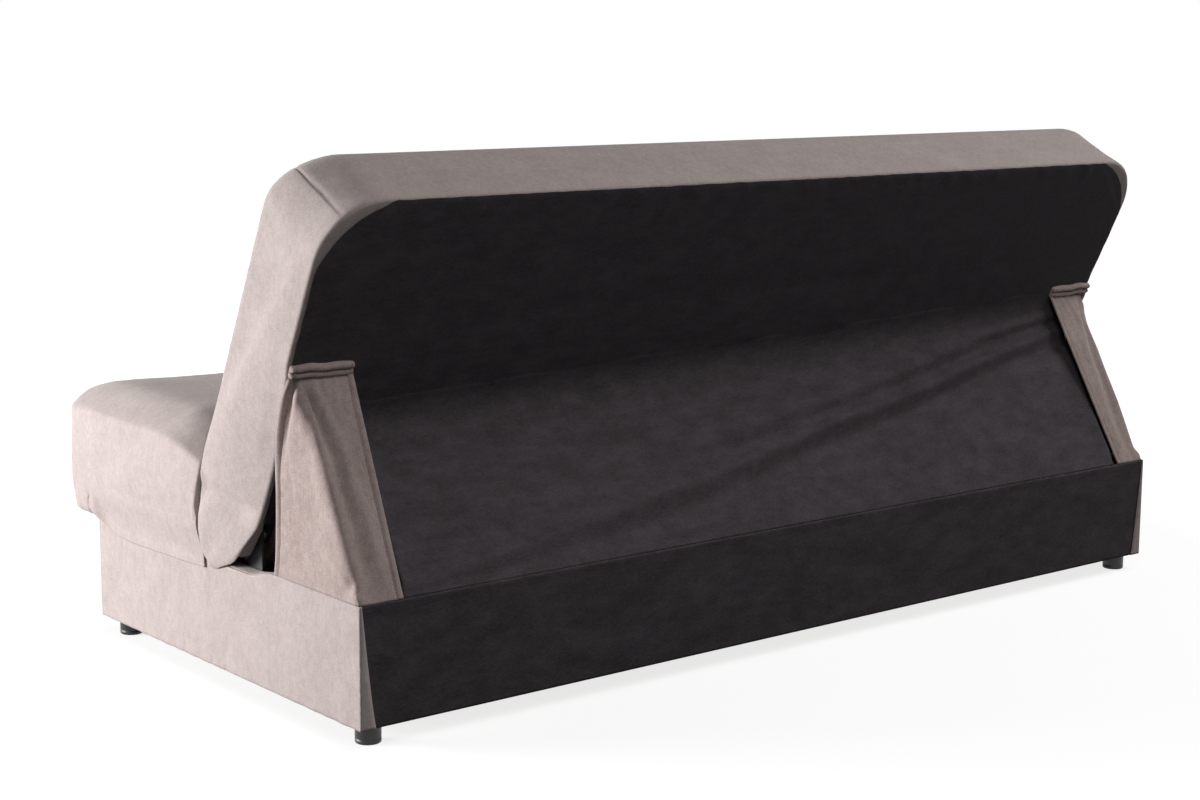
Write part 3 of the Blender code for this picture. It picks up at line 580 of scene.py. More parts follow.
def pine(name):
    """Planed pine: growth rings cut along the board, with a few darker streaks."""
    finish = Finish(name, 0.62)
    links = {"Vector": finish.stretched(0.25, 3.0, 3.0), "Scale": 9, "Distortion": 7.0}
    wave = finish.add("ShaderNodeTexWave", links, wave_type="BANDS", bands_direction="Z")
    rings = wave.outputs["Fac"]
    pores = finish.noise(160, 3, finish.stretched(0.06, 1, 1))
    base = finish.mix(finish.range(rings, 0.2, 0.9), (0.62, 0.44, 0.25), (0.42, 0.25, 0.12))
    finish.color(finish.mix(finish.range(pores, 0.45, 0.75, 0, 0.35), base, (0.30, 0.18, 0.09)))
    finish.rough(pores, 0.3, 0.7, 0.55, 0.75)
    finish.bumps((pores, 0.3, 0.0004), (rings, 0.1, 0.0006))
    return finish.material


def hardboard(name):
    finish = Finish(name, 0.7)
    fibre = finish.noise(300, 4, roughness=0.7)
    cloud = finish.noise(12, 3)
    base = finish.mix(finish.range(fibre, 0.3, 0.7), (0.20, 0.12, 0.06), (0.34, 0.22, 0.12))
    finish.color(finish.mix(finish.range(cloud, 0.3, 0.7, 0, 0.3), base, (0.16, 0.10, 0.05)))
    finish.bumps((fibre, 0.35, 0.0003))
    return finish.material


def metal(name, light, dark, roughness, metallic, grain):
    """Coated or plated steel, with a fine grain and rubbed edges."""
    finish = Finish(name, roughness, metallic)
    fine = finish.noise(grain, 3)
    worn = finish.noise(40, 4, roughness=0.7)
    finish.color(finish.mix(finish.range(worn, 0.35, 0.7), dark, light))
    finish.rough(worn, 0.3, 0.7, roughness - 0.08, roughness + 0.12)
    finish.bumps((fine, 0.2, 0.0002))
    return finish.material


def moulded(name):
    """Black moulded plastic, faintly spark-eroded and scuffed near the floor."""
    finish = Finish(name, 0.42)
    scuff = finish.noise(55, 4, finish.stretched(1, 1, 6), roughness=0.7)
    finish.tones((0.012, 0.012, 0.013), (0.035, 0.034, 0.034), (scuff, 0.5, 0.75, 1.0))
    finish.rough(scuff, 0.35, 0.7, 0.36, 0.56)
    finish.bumps((finish.cells(1500), 0.15, 0.0002))
    return finish.material


FINISHES = {
    "upholstery": chenille("upholstery", (0.615, 0.535, 0.517), (0.325, 0.258, 0.247), 0.30),
    "wing_cloth": chenille("wing_cloth", (0.590, 0.480, 0.458), (0.245, 0.176, 0.158), 0.12),
    "thread": chenille("thread", (0.30, 0.24, 0.22), (0.16, 0.12, 0.105), 1.0),
    "nonwoven": spunbond("nonwoven", (0.124, 0.109, 0.120), (0.046, 0.040, 0.044)),
    "wood": pine("wood"),
    "hardboard": hardboard("hardboard"),
    "black_steel": metal("black_steel", (0.020, 0.020, 0.021), (0.011, 0.011, 0.012), 0.58, 0, 900),
    "zinc_steel": metal("zinc_steel", (0.66, 0.67, 0.70), (0.45, 0.46, 0.48), 0.34, 1, 700),
    "black_plastic": moulded("black_plastic"),
}


def dress_nodes():
    """Each CAD node takes the finish of its material slot."""
    for obj in frame["nodes"].values():
        for slot in obj.material_slots:
            slot.material = FINISHES[slot.material.name.split(".")[0]]


def settle(piece, body, slot, *nodes):
    """Puts a finished piece on its body, in the place of the nodes it stands for. Its slot is not
    used.
    """
    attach(piece, body)
    if nodes:
        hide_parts(*nodes)


# The back cushion

BACK_COUNTS = (170, 62)
BAND_EDGE = 0.006
SIDE_EDGE = 0.022
TOP_EDGE = 0.066
CORNER_RADIUS = 0.11
BOTTOM_RADIUS = 0.012
FRONT_CROWN = 0.012
TOP_FALL = 0.008
SEAM_DEPTH = 0.0016
# The lower edge of the back's sides, as (across, along)
HEEL_LINE = smooth_line(
    [
        (-0.0302, 0.035), (-0.012, -0.037), (0.020, -0.082), (0.056, -0.1055), (0.089, -0.085),
        (0.119, -0.020), (0.132, 0.030), (0.150, 0.119),
    ]
)
HEEL_REACH = 0.125
HEEL_TUCK = 0.006
HEEL_SHARP = 0.62
REAR_TURN = 0.105
HEEL_CREASE = 0.062
# How far the rear edge of each side is drawn in, as (along, inset)
HEEL_DRAW = smooth_line(
    [
        (-0.20, 0.010), (-0.03, 0.011), (0.03, 0.022), (0.10, 0.025), (0.17, 0.024),
        (0.27, 0.015), (0.36, 0.0),
    ],
    6,
)


def back_stations():
    """Rings from the rear face, over the band, to the front face.

    Each has (across, inset) for its sides, the same for its top, and how deep it lies in the seam.
    """
    rear = [(BACK_REAR, inset) for inset in (0.075, 0.045, 0.024, 0.013)]
    for turn in np.linspace(0, pi / 2, 6):
        rear.append((BACK_REAR + BAND_EDGE * (1 - cos(turn)), BAND_EDGE * (1 - sin(turn))))
    stations = [(place, place, 0) for place in rear]
    edges = (SIDE_EDGE, TOP_EDGE)
    start = BACK_REAR + BAND_EDGE
    for share in np.linspace(0, 1, 19)[1:-1]:
        places = ((start + share * (BACK_FRONT - edge - start), 0.0) for edge in edges)
        stations.append((*places, 0))
    for degrees in (0, 10, 20, 29, 36, 40.5, 43, 45, 47, 49.5, 54, 61, 70, 80, 90):
        turn = radians(degrees)
        places = ((BACK_FRONT - edge * (1 - sin(turn)), edge * (1 - cos(turn))) for edge in edges)
        stations.append((*places, hill(degrees - 45, 2.2)))
    for more in (0.010, 0.023, 0.038, 0.058):
        stations.append((*((BACK_FRONT, edge + more) for edge in edges), 0))
    return stations


def seam_draw(seam):
    """How far a ring is drawn in, both ways, where it lies in the front seam."""
    return SEAM_DEPTH * seam * 0.7


def back_outline(station):
    """A station's ring, in the plane of the back."""
    (across, inset), (_, top_inset), seam = station
    heel = read(HEEL_LINE, across)
    low = heel + (inset if across in (BACK_REAR, BACK_FRONT) else 0.0)
    fall = TOP_FALL * (BACK_FRONT - across) / (BACK_FRONT - BACK_REAR)
    drawn = seam_draw(seam)
    high = BACK_LENGTH - fall - drawn - top_inset
    radius = max(CORNER_RADIUS - drawn - (inset + top_inset) / 2, BOTTOM_RADIUS)
    half = HALF_CUSHION - drawn - inset
    return round_outline(half, low, high, BOTTOM_RADIUS, radius, BACK_COUNTS)


def top_share(x, along):
    """1 along the top, 0 along the sides, and between them round the top corners."""
    beside = np.maximum(np.abs(x) - (HALF_CUSHION - CORNER_RADIUS), 1e-6)
    above = np.maximum(along - (BACK_LENGTH - CORNER_RADIUS), 0)
    return ease(np.arctan2(above, beside), radians(12), radians(78))


def heel_edge(x, along, inset):
    """Towards the heel the front edge gets sharper: the ring loses part of its inset."""
    outer = ease(np.abs(x), HALF_CUSHION - inset - 0.03, HALF_CUSHION - inset)
    drawn = np.interp(inset, (0, SIDE_EDGE, SIDE_EDGE + 0.058), (0, SIDE_EDGE, 0))
    return np.sign(x) * HEEL_SHARP * drawn * outer * fade(along, 0.0, 0.17)


def back_place(ring, station):
    """Puts a ring in the world, deeper round its top, with the crown of the front face."""
    (across, inset), (top_across, _), seam = station
    x, along = ring[:, 0], ring[:, 1]
    if across > BACK_FRONT - SIDE_EDGE:
        x = x + heel_edge(x, along, inset)
    depth = across + (top_across - across) * top_share(x, along) - seam_draw(seam)
    on_face = ease(across, BACK_FRONT - SIDE_EDGE, BACK_FRONT)
    middle = (BACK_LENGTH + HEEL_LINE[-1, 1]) / 2
    swell = (1 - (x / HALF_CUSHION) ** 2) * (1 - ((along - middle) / (BACK_LENGTH - middle)) ** 2)
    return on_back(x, depth + FRONT_CROWN * on_face * np.clip(swell, 0, 1) ** 1.6, along)


def back_frame(points):
    """(x, across, along) of world points of the back at rest."""
    forward, up = REAR_Y - points[:, 1] - HINGE[0], points[:, 2] - HINGE[1]
    across = forward * cos(LEAN) + up * sin(LEAN)
    return points[:, 0], across, -forward * sin(LEAN) + up * cos(LEAN)


def back_freedom(points):
    """The band and front are free, the seams are held, and so are the rear and the heel."""
    x, across, along = back_frame(points)
    free = ease(along, 0.10, 0.20) * ease(across, BACK_REAR + 0.004, BACK_REAR + 0.05)
    edge = SIDE_EDGE + (TOP_EDGE - SIDE_EDGE) * top_share(x, along)
    inset = edge * (1 - cos(pi / 4))
    from_side = np.abs(HALF_CUSHION - inset - np.abs(x))
    from_top = np.abs(BACK_LENGTH - inset - along)
    seam = np.abs(across - (BACK_FRONT - inset)) + np.minimum(from_side, from_top)
    return free * (0.35 + 0.65 * ease(seam, 0.0, 0.04))


def heel_draw(x, along):
    """How far the rear edge of each side is drawn in towards its lower end."""
    return read(HEEL_DRAW, along) * np.clip(1 - (HALF_CUSHION - np.abs(x)) / HEEL_REACH, 0, 1)


def shape_band(body):
    """The mitre seams with their dimples, the puckers beside the seams, and the tucked heel."""
    points = points_of(body.data)
    x, across, along = back_frame(points)
    side = np.sign(x)
    # The mitre seams cross the band at the middle of each top corner.
    offset = (HALF_CUSHION - np.abs(x) - BACK_LENGTH + along) / sqrt(2)
    corner = ease(along + np.abs(x) - BACK_LENGTH - HALF_CUSHION, -0.16, -0.09)
    band = corner * window(across, BACK_REAR, BACK_REAR + 0.01, BACK_FRONT - 0.004, BACK_FRONT)
    inward = np.stack([-side, np.zeros_like(x), -np.ones_like(x)], axis=1) / sqrt(2)
    depth = SEAM_DEPTH * hill(offset, 0.0016) * band
    depth += 0.0024 * hill(offset - 0.030, 0.018) * hill(across - 0.070, 0.032) * corner
    depth += 0.0030 * hill(offset + 0.034, 0.020) * hill(across - 0.030, 0.045) * corner
    depth -= 0.0007 * hill(offset, 0.016) * (1 - hill(offset, 0.004)) * band
    move = inward * depth[:, None]
    world = np.stack([move[:, 0], move[:, 2] * sin(LEAN), move[:, 2] * cos(LEAN)], axis=1)
    # Below a soft crease the side of the heel is drawn in, swells again, and is tucked under.
    on_side = ease(np.abs(x), HALF_CUSHION - 0.03, HALF_CUSHION - 0.008)
    below = HEEL_CREASE + 0.22 * (0.025 - across) - along
    near_front = ease(across, BACK_FRONT - 0.040, BACK_FRONT - 0.014)
    front = ease(across, -0.03, 0.03) * (1 - 0.75 * near_front)
    recess = 0.0110 * window(below, -0.005, 0.014, 0.018, 0.062) * front
    recess += HEEL_TUCK * ease(below, 0.085, 0.150)
    fan = np.arctan2(along + 0.12, across - 0.075)
    recess += 0.0014 * np.sin(fan * 7.5 + 0.8) * ease(below, 0.0, 0.06)
    # A folded lip stands along its front edge.
    recess += 0.0030 * hill(across - (BACK_FRONT - 0.030), 0.009) * ease(below, 0.004, 0.03)
    recess -= 0.0012 * hill(across - (BACK_FRONT - 0.013), 0.008) * ease(below, 0.004, 0.03)
    # The rear end of the side turns in behind the wing.
    rear = np.clip((REAR_TURN - across) / (REAR_TURN - BACK_REAR), 0, 1) ** 1.3
    world[:, 0] -= side * (on_side * recess + heel_draw(x, along) * rear)
    # Short puckers run in from the front seam.
    beside_seam = hill(across - (BACK_FRONT - 0.028), 0.016) * on_side
    world[:, 0] += side * beside_seam * 0.0007 * ripple(along, 0.035, 3) * ease(along, 0.12, 0.2)
    set_points(body.data, points + world)


# The two steps of each hinge pocket: how far from the middle of the sofa, and up to where
POCKETS = (((0.900, 0.9415), 0.05), ((0.940, 0.9625), -0.028))
POCKET_DEPTH = (BACK_REAR - 0.02, BACK_FRONT + 0.02)


def cut_box(body, xs, acrosses, alongs):
    """Cuts a box, given in the back's frame, out of a body."""
    corners = [on_back(x, a, l) for x in xs for a in acrosses for l in alongs]
    faces = [(0, 1, 3, 2), (4, 6, 7, 5), (0, 4, 5, 1), (2, 3, 7, 6), (0, 2, 6, 4), (1, 5, 7, 3)]
    cutter = closed_body("cutter", corners, faces, "upholstery")
    cut = body.modifiers.new("cut", "BOOLEAN")
    cut.operation = "DIFFERENCE"
    cut.object = cutter
    applied(body)
    bpy.data.objects.remove(cutter, do_unlink=True)


def make_back_cushion():
    stations = back_stations()
    body = padded_body("back_cushion_padded", stations, back_outline, back_place, BACK_COUNTS)
    stuffed(body, back_freedom)
    shape_band(body)
    for _, side in SIDES:
        for xs, top in POCKETS:
            xs = sorted(side * x for x in xs)
            cut_box(body, xs, POCKET_DEPTH, (-BACK_LENGTH, top))
    settle(body, "backrest", "upholstery", "back_cushion")


# The seat cushion

SEAT_COUNTS = (170, 50)
# The rear end of the seat, as (up, forward), and its top, as (forward, up)
SEAT_REAR_LINE = ((0.2603, 0.4815), (0.3083, 0.4762), (0.3589, 0.4642), (0.397, 0.4585))
SEAT_TOP_LINE = smooth_line([(0.4605, 0.397), (0.56, 0.438), (0.68, 0.449), (0.983, 0.452)])
SEAT_REAR, SEAT_REAR_TOP = SEAT_TOP_LINE[0]
# The top edge of the seat's sides, as (inset, drop), and how much of the drop each place has
SIDE_PROFILE = smooth_line(
    [
        (0.0, 0.050), (0.0012, 0.042), (0.0045, 0.0355), (0.0110, 0.0305), (0.0300, 0.0175),
        (0.0500, 0.0075), (0.0720, 0.0015), (0.0950, 0.0),
    ],
    6,
)
SIDE_FALL = ((0.4605, 0.40), (0.517, 0.72), (0.60, 0.92), (0.70, 1.0))
FRONT_RADIUS = 0.048
REAR_RADIUS = 0.025
LOW_RADIUS = 0.016
SEAT_CORNER = 0.052
SEAT_REAR_CORNER = 0.005
SEAT_HOLLOW = 0.0045
SIDE_SWELL = 0.004
FRONT_SLOPE = 0.009


def seat_top(x, forward):
    """The height of the top, a little puffier near its ends than between them."""
    hollow = SEAT_HOLLOW * ease(HALF_CUSHION - np.abs(x), 0.09, 0.34) * ease(forward, 0.50, 0.62)
    return read(SEAT_TOP_LINE, forward) - hollow


def seat_low(forward):
    """The underside: on the frame, then lower in front of the box."""
    on_frame = RAIL_TOP + 0.0004
    step = ease(forward, BOX_FRONT + 0.0006, BOX_FRONT + 0.004)
    return on_frame - (on_frame - SEAT_UNDERSIDE) * step


def seat_stations():
    """(zone, share, inset) from the underside, up the sides, over the top edge."""
    stations = [("low", 0.0, inset) for inset in (0.075, 0.05, 0.03)]
    stations += [("low", turn, 0.0) for turn in np.linspace(0, 1, 6)]
    stations += [("side", share, 0.0) for share in np.linspace(0, 1, 15)[1:-1]]
    stations += [("top", share, 0.0) for share in np.linspace(0, 1, 21)]
    stations += [("top", 1.0, inset) for inset in (0.012, 0.026, 0.045, 0.07)]
    return stations


def side_profile(share):
    """(inset, drop) of the side's top edge, which turns sharply and then rises slowly."""
    run = run_along(SIDE_PROFILE)
    return points_at(SIDE_PROFILE, run, share * run[-1])


def seat_insets(station):
    """How far the ring is drawn in on its sides, at its rear and at its front."""
    zone, share, inset = station
    turn = share * pi / 2
    if zone == "low":
        drawn = LOW_RADIUS * (1 - sin(turn))
        return drawn + inset, drawn + inset, FRONT_SLOPE + drawn + inset
    if zone == "side":
        swell = SIDE_SWELL * sin(pi * share)
        return -swell, 0.0, FRONT_SLOPE * fade(share, 0.0, 0.4) - swell / 2
    drawn = 1 - cos(turn)
    side = side_profile(share)[0] + inset
    return side, REAR_RADIUS * drawn + inset, FRONT_RADIUS * drawn + inset


def seat_level(station):
    """The share of the height at which a ring starts, for its rear end."""
    zone, share = station[:2]
    return {"low": 0.0, "side": 0.1 + 0.75 * share, "top": 0.85 + 0.15 * share}[zone]


def seat_outline(station):
    """A station's ring, seen from above."""
    side, rear, front = seat_insets(station)
    up = RAIL_TOP + seat_level(station) * (SEAT_REAR_TOP - RAIL_TOP)
    low = read(SEAT_REAR_LINE, up) + rear
    high = SEAT_FRONT - front
    corner = max(SEAT_CORNER - max(side, 0.0), 0.012)
    return round_outline(HALF_CUSHION - side, low, high, SEAT_REAR_CORNER, corner, SEAT_COUNTS)


def seat_place(ring, station):
    """Puts a ring in the world, at the height that its zone and each point's edge ask for."""
    zone, share, inset = station
    x, forward = ring[:, 0], ring[:, 1]
    low, top = seat_low(forward), seat_top(x, forward)
    turn = share * pi / 2
    if zone == "low":
        return on_box(x, forward, low + LOW_RADIUS * (1 - cos(turn)))
    if inset > 0:
        return on_box(x, forward, top)
    # How much each point belongs to the side, the front or the rear end
    drawn = seat_insets(station)
    to_side = ease(np.abs(x), HALF_CUSHION - drawn[0] - 0.07, HALF_CUSHION - drawn[0] - 0.002)
    to_front = ease(forward, SEAT_FRONT - drawn[2] - 0.05, SEAT_FRONT - drawn[2] - 0.004)
    to_rear = fade(forward, SEAT_REAR + 0.01, SEAT_REAR + 0.06)
    turned = share if zone == "top" else 0.0
    drop = side_profile(turned)[1] * read(SIDE_FALL, forward) * to_side
    arc = 1 - sin(turned * pi / 2)
    drop = drop + (REAR_RADIUS * arc - drop) * to_rear * (1 - to_side)
    drop = drop + (FRONT_RADIUS * arc - drop) * to_front
    if zone == "side":
        start = low + LOW_RADIUS
        return on_box(x, forward, start + (top - drop - start) * share)
    return on_box(x, forward, top - drop)


def seat_freedom(points):
    """The top, front and sides are free. The underside and the rear end are held."""
    forward, up = REAR_Y - points[:, 1], points[:, 2]
    free = ease(up, RAIL_TOP + 0.004, RAIL_TOP + 0.05) * ease(forward, 0.472, 0.53)
    below = seat_top(points[:, 0], forward) - up
    seam = np.hypot(HALF_CUSHION - 0.006 - np.abs(points[:, 0]), below - 0.034)
    return free * (0.3 + 0.7 * ease(seam, 0.0, 0.04))


def shape_seat(body):
    """Small gathers beside the side seams, and long soft hollows on the top."""
    points = points_of(body.data)
    x, forward, up = points[:, 0], REAR_Y - points[:, 1], points[:, 2]
    side = np.sign(x)
    below = seat_top(x, forward) - up
    on_top = fade(below, 0.006, 0.02)
    from_edge = HALF_CUSHION - np.abs(x)
    gather = ripple(forward + 0.15 * from_edge, 0.045, 11) * hill(from_edge - 0.022, 0.022)
    gather *= window(forward, 0.47, 0.52, 0.90, 0.96)
    points[:, 2] += 0.0007 * gather * on_top
    sides = ease(np.abs(x), HALF_CUSHION - 0.02, HALF_CUSHION - 0.004) * ease(up, 0.27, 0.30)
    puckers = ripple(forward, 0.05, 12) * hill(below - 0.048, 0.024)
    points[:, 0] += side * sides * 0.0007 * puckers * ease(forward, 0.47, 0.52)
    broad = ripple(x, 0.55, 13) * ripple(forward, 0.30, 14)
    points[:, 2] += 0.0012 * broad * on_top * ease(from_edge, 0.03, 0.15)
    set_points(body.data, points)


def make_seat_cushion():
    stations = seat_stations()
    body = padded_body("seat_cushion_padded", stations, seat_outline, seat_place, SEAT_COUNTS)
    stuffed(body, seat_freedom)
    shape_seat(body)
    settle(body, "seat", "upholstery", "seat_cushion")
    return body


# Cloth over the box

CLOTH = 0.0016
COVER_PLANE = HALF_BOX - CLOTH / 2 - 0.0003
WRAP_RADIUS = 0.003
WRAP_POINTS = 7
REAR_FOLD = (0.004, 0.028)
COVER_RISE = (0.25, 0.34)
COVER_GRID = (46, 130)
COVER_SAG = 0.0010
COVER_PULL = 0.0007
TURN_GRID = (12, 170)
TURN_REACH = (0.0035, 0.870)
TURN_INNER = 0.9335
TURN_CLOTH = 0.0012
FRONT_ROWS = 24
FRONT_WAVE = 0.0009
REAR_GRID = (46, 260)
REAR_WAVE = 0.0011
REAR_HEM = 0.012


def bent_path(corners, radius, step):
    """Points along a plane path of straight runs with round corners."""
    corners = [np.array(c, float) for c in corners]
    line = [corners[0]]
    for before, corner, after in zip(corners, corners[1:], corners[2:]):
        start, end = (corner + unit(other - corner) * radius for other in (before, after))
        line += [bend(start, corner, end, share) for share in np.linspace(0, 1, WRAP_POINTS)]
    line.append(corners[-1])
    path = [line[0]]
    for a, b in zip(line, line[1:]):
        pieces = max(1, round(float(np.linalg.norm(b - a)) / step))
        path += [a + (b - a) * k / pieces for k in range(1, pieces + 1)]
    return np.array(path)


def side_cover_top(forward):
    """The top edge of a box side: high behind the back, then a smooth fall."""
    share = np.clip((forward - COVER_RISE[0]) / (COVER_RISE[1] - COVER_RISE[0]), 0, 1)
    return BOX_REAR_TOP + (BOX_TOP - BOX_REAR_TOP) * (1 - np.cos(pi * share)) / 2


def make_side_cover(word, side):
    """The side cloth, turned round the rear corner and folded to a slant on the rear face."""
    front, rear = BOX_FRONT - 0.0044, -0.0012
    levels, columns = COVER_GRID
    rows = []
    for up_share in np.linspace(0, 1, levels):
        fold = REAR_FOLD[1] + (REAR_FOLD[0] - REAR_FOLD[1]) * up_share**0.8
        corners = [(COVER_PLANE, front), (COVER_PLANE, rear), (COVER_PLANE - fold, rear)]
        path = bent_path(corners, WRAP_RADIUS, 0.009)
        path = points_at(path, np.linspace(0, 1, len(path)), np.linspace(0, 1, columns))
        x, forward = path[:, 0], path[:, 1]
        up = BOX_BOTTOM + (side_cover_top(forward) - BOX_BOTTOM) * up_share
        on_side = ease(forward, 0.004, 0.03)
        sag = COVER_SAG * sin(pi * up_share)
        sag = sag * ripple(forward + 0.2 * up, 0.30, 21) * ripple(up, 0.16, 22)
        pull = COVER_PULL * ripple(forward, 0.06, 23) * hill(up - BOX_BOTTOM, 0.018)
        rows.append(on_box(side * (x + on_side * (sag + pull)), forward, up))
    grid = np.array(rows)
    piece = cloth("side_cover_cloth_" + word, grid, CLOTH, "upholstery")
    settle(piece, "base", "upholstery", "side_cover_" + word)
    x = np.linspace(COVER_PLANE - CLOTH / 2, TURN_INNER, TURN_GRID[0])[:, None]
    forward = np.linspace(*TURN_REACH, TURN_GRID[1])[None, :]
    rear_top = highest("side_board_" + word).z
    board_top = rear_top + (BOX_TOP - rear_top) * ease(forward, *COVER_RISE)
    grid = on_box(side * x, forward, board_top + 0.0015)
    turn = cloth("side_cover_turn_" + word, grid, TURN_CLOTH, "upholstery")
    settle(turn, "base", "upholstery")


def make_front_cover():
    """The front cloth, turned round both front corners."""
    front, back = BOX_FRONT - CLOTH / 2 - 0.0004, BOX_FRONT - 0.0040
    half = [(COVER_PLANE, front), (COVER_PLANE, back)]
    corners = [(-x, forward) for x, forward in half[::-1]] + half
    path = bent_path(corners, WRAP_RADIUS, 0.016)
    x, forward = path[:, 0], path[:, 1]
    rows = []
    for share in np.linspace(0, 1, FRONT_ROWS):
        up = BOX_BOTTOM + (BOX_TOP - BOX_BOTTOM) * share
        wave = FRONT_WAVE * ripple(x, 0.35, 24) * sin(pi * share)
        rows.append(on_box(x, forward + wave * ease(COVER_PLANE - np.abs(x), 0.01, 0.06), up))
    piece = cloth("front_cover_cloth", np.array(rows), CLOTH, "upholstery")
    settle(piece, "base", "upholstery", "front_cover")


def make_rear_cover():
    """The black rear cloth, a little slack, with its top edge turned under."""
    half = highest("rear_cover").x
    share = np.linspace(0, 1, REAR_GRID[0])[:, None]
    x = np.linspace(-half, half, REAR_GRID[1])[None, :]
    up = BOX_BOTTOM + (BOX_REAR_TOP - BOX_BOTTOM) * share
    slack = np.sin(pi * share) * ease(half - np.abs(x), 0.0, 0.08)
    wave = REAR_WAVE * ripple(x + 0.25 * up, 0.42, 25) * ripple(up, 0.20, 26) * slack
    wave = wave + 0.0005 * ripple(x, 0.05, 27) * hill(up - BOX_REAR_TOP, 0.02)
    grid = on_box(x, 0.0009 + wave * 0.8, up)
    hem = ease(up, BOX_REAR_TOP - REAR_HEM, BOX_REAR_TOP - 0.008)
    thickness = 0.0010 + 0.0008 * hem
    piece = cloth("rear_cover_cloth", grid, thickness, "nonwoven")
    settle(piece, "base", "nonwoven", "rear_cover")


# The panel over the rear of the back

PANEL_HALF = HALF_CUSHION - 0.0065
PANEL_TOP = 0.6505
PANEL_LOW = 0.05
PANEL_CORNER = 0.118
PANEL_COUNTS = (190, 60)
PANEL_CLOTH = 0.0009
PANEL_SCALLOP = 0.0013
PANEL_PUCKER = 0.0008
PANEL_SLACK = 0.0009


def make_back_panel():
    """Stretched over the frame and stapled near the edge, where it puckers."""
    ring = round_outline(PANEL_HALF, PANEL_LOW, PANEL_TOP, 0.006, PANEL_CORNER, PANEL_COUNTS)
    # The cloth is pulled straighter across each top corner.
    beside = np.maximum(np.abs(ring[:, 0]) - PANEL_HALF + PANEL_CORNER, 0)
    above = np.maximum(ring[:, 1] - PANEL_TOP + PANEL_CORNER, 0)
    chord = PANEL_CORNER / np.maximum(beside + above, PANEL_CORNER)
    drawn = 0.40 * (1 - np.where(np.minimum(beside, above) > 0, chord, 1))[:, None]
    ring = ring - np.stack([np.sign(ring[:, 0]) * beside, above], axis=1) * drawn
    inward = unit(np.array((0.0, (PANEL_TOP + PANEL_LOW) / 2)) - ring)
    scallop = PANEL_SCALLOP * np.abs(ripple(run_along(ring), 0.05, 31, 3))
    scallop *= ease(ring[:, 1], PANEL_LOW, PANEL_LOW + 0.05)
    grid, _ = across_grid(ring + inward * scallop[:, None], PANEL_COUNTS)
    x, along = grid[..., 0], grid[..., 1]
    from_top = PANEL_TOP - along
    from_side = PANEL_HALF - np.abs(x)
    from_corner = (from_top + from_side - PANEL_CORNER) / sqrt(2)
    edge = np.maximum(np.minimum(np.minimum(from_top, from_side), from_corner), 0)
    pucker = ripple(x + 0.3 * from_top, 0.045, 32) * hill(from_top - 0.008, 0.022)
    pucker = pucker + 0.6 * ripple(along, 0.06, 33) * hill(from_side - 0.006, 0.015)
    slack = PANEL_SLACK * ripple(x + 0.5 * along, 0.5, 34) * ripple(along, 0.3, 35)
    slack = np.abs(slack * ease(edge, 0.02, 0.2))
    across = PANEL_ACROSS - 0.0004 - PANEL_PUCKER * pucker - slack
    across = across + 0.0008 * fade(edge, 0.0, 0.006)
    grid = on_back(x - np.sign(x) * heel_draw(x, along), across, along)
    piece = cloth("back_panel_cloth", grid, PANEL_CLOTH, "nonwoven")
    settle(piece, "backrest", "nonwoven", "back_panel")


# The dust curtain

# Where the curtain leaves the panel, along the back, from right to left
DEPARTURE = (
    (-0.73, 0.296), (-0.44, 0.283), (-0.17, 0.271), (0.08, 0.262), (0.31, 0.251),
    (0.53, 0.241), (0.73, 0.230),
)
CURTAIN_COLUMNS = 300
HIDDEN_ROWS = 4
BEND_ROWS = 26
HANGING_ROWS = 95
CURTAIN_BEND = 0.045
CURTAIN_TUCK = 0.062
CURTAIN_REACH = 0.86
CURTAIN_LENGTH = 0.338
CURTAIN_ACROSS = PANEL_ACROSS - 0.0014
CURTAIN_FOOT = (0.0014, BOX_REAR_TOP + 0.0006)
# How far its edges lie from the middle, from its top (0) to its foot (1)
CURTAIN_RIGHT = ((0, 0.903), (0.08, 0.897), (0.23, 0.885), (0.54, 0.869), (1, 0.864))
CURTAIN_LEFT = ((0, 0.835), (0.43, 0.840), (0.7, 0.856), (1, 0.876))
# Its two tension folds, as (x, share of the way down)
RIDGE_A = (
    (-0.86, 0.13), (-0.62, 0.24), (-0.40, 0.36), (-0.20, 0.44), (0.00, 0.54),
    (0.20, 0.65), (0.40, 0.74), (0.60, 0.84), (0.85, 0.97),
)
RIDGE_B = (
    (-0.90, 0.02), (-0.65, 0.10), (-0.377, 0.24), (-0.146, 0.33), (0.07, 0.42), (0.40, 0.55),
)


def along_line(line, x):
    """The value at x of a table of rows, which goes on straight past its ends."""
    line = np.array(line)
    slope_low = (line[1, 1] - line[0, 1]) / (line[1, 0] - line[0, 0])
    slope_high = (line[-1, 1] - line[-2, 1]) / (line[-1, 0] - line[-2, 0])
    before = np.minimum(x - line[0, 0], 0) * slope_low
    return read(line, x) + before + np.maximum(x - line[-1, 0], 0) * slope_high


def curtain_relief(x, down):
    """How far the tension folds lift the curtain off its plane."""
    line_a, line_b = along_line(RIDGE_A, x), along_line(RIDGE_B, x)
    fan = 0.045 + 0.030 * ease(x, -0.9, 0.6)
    a, b = (down - line_a) / fan, (down - line_b) / fan
    strong = 0.55 + 0.45 * hill(x + 0.25, 0.6)
    relief = 0.0125 * strong * (np.exp(-(a**2)) - 0.80 * np.exp(-((a - 1.75) ** 2) / 1.3))
    faded = fade(x, -0.05, 0.45)
    relief += 0.0080 * faded * (np.exp(-(b**2)) - 0.75 * np.exp(-((b - 1.5) ** 2) / 1.2))
    c = (down - line_b + 0.13) / (fan * 1.3)
    relief += 0.0030 * fade(x, -0.3, 0.2) * np.exp(-(c**2))
    relief += 0.0016 * ripple(x + 0.4 * down, 0.50, 41) * ripple(down, 0.8, 42)
    return relief


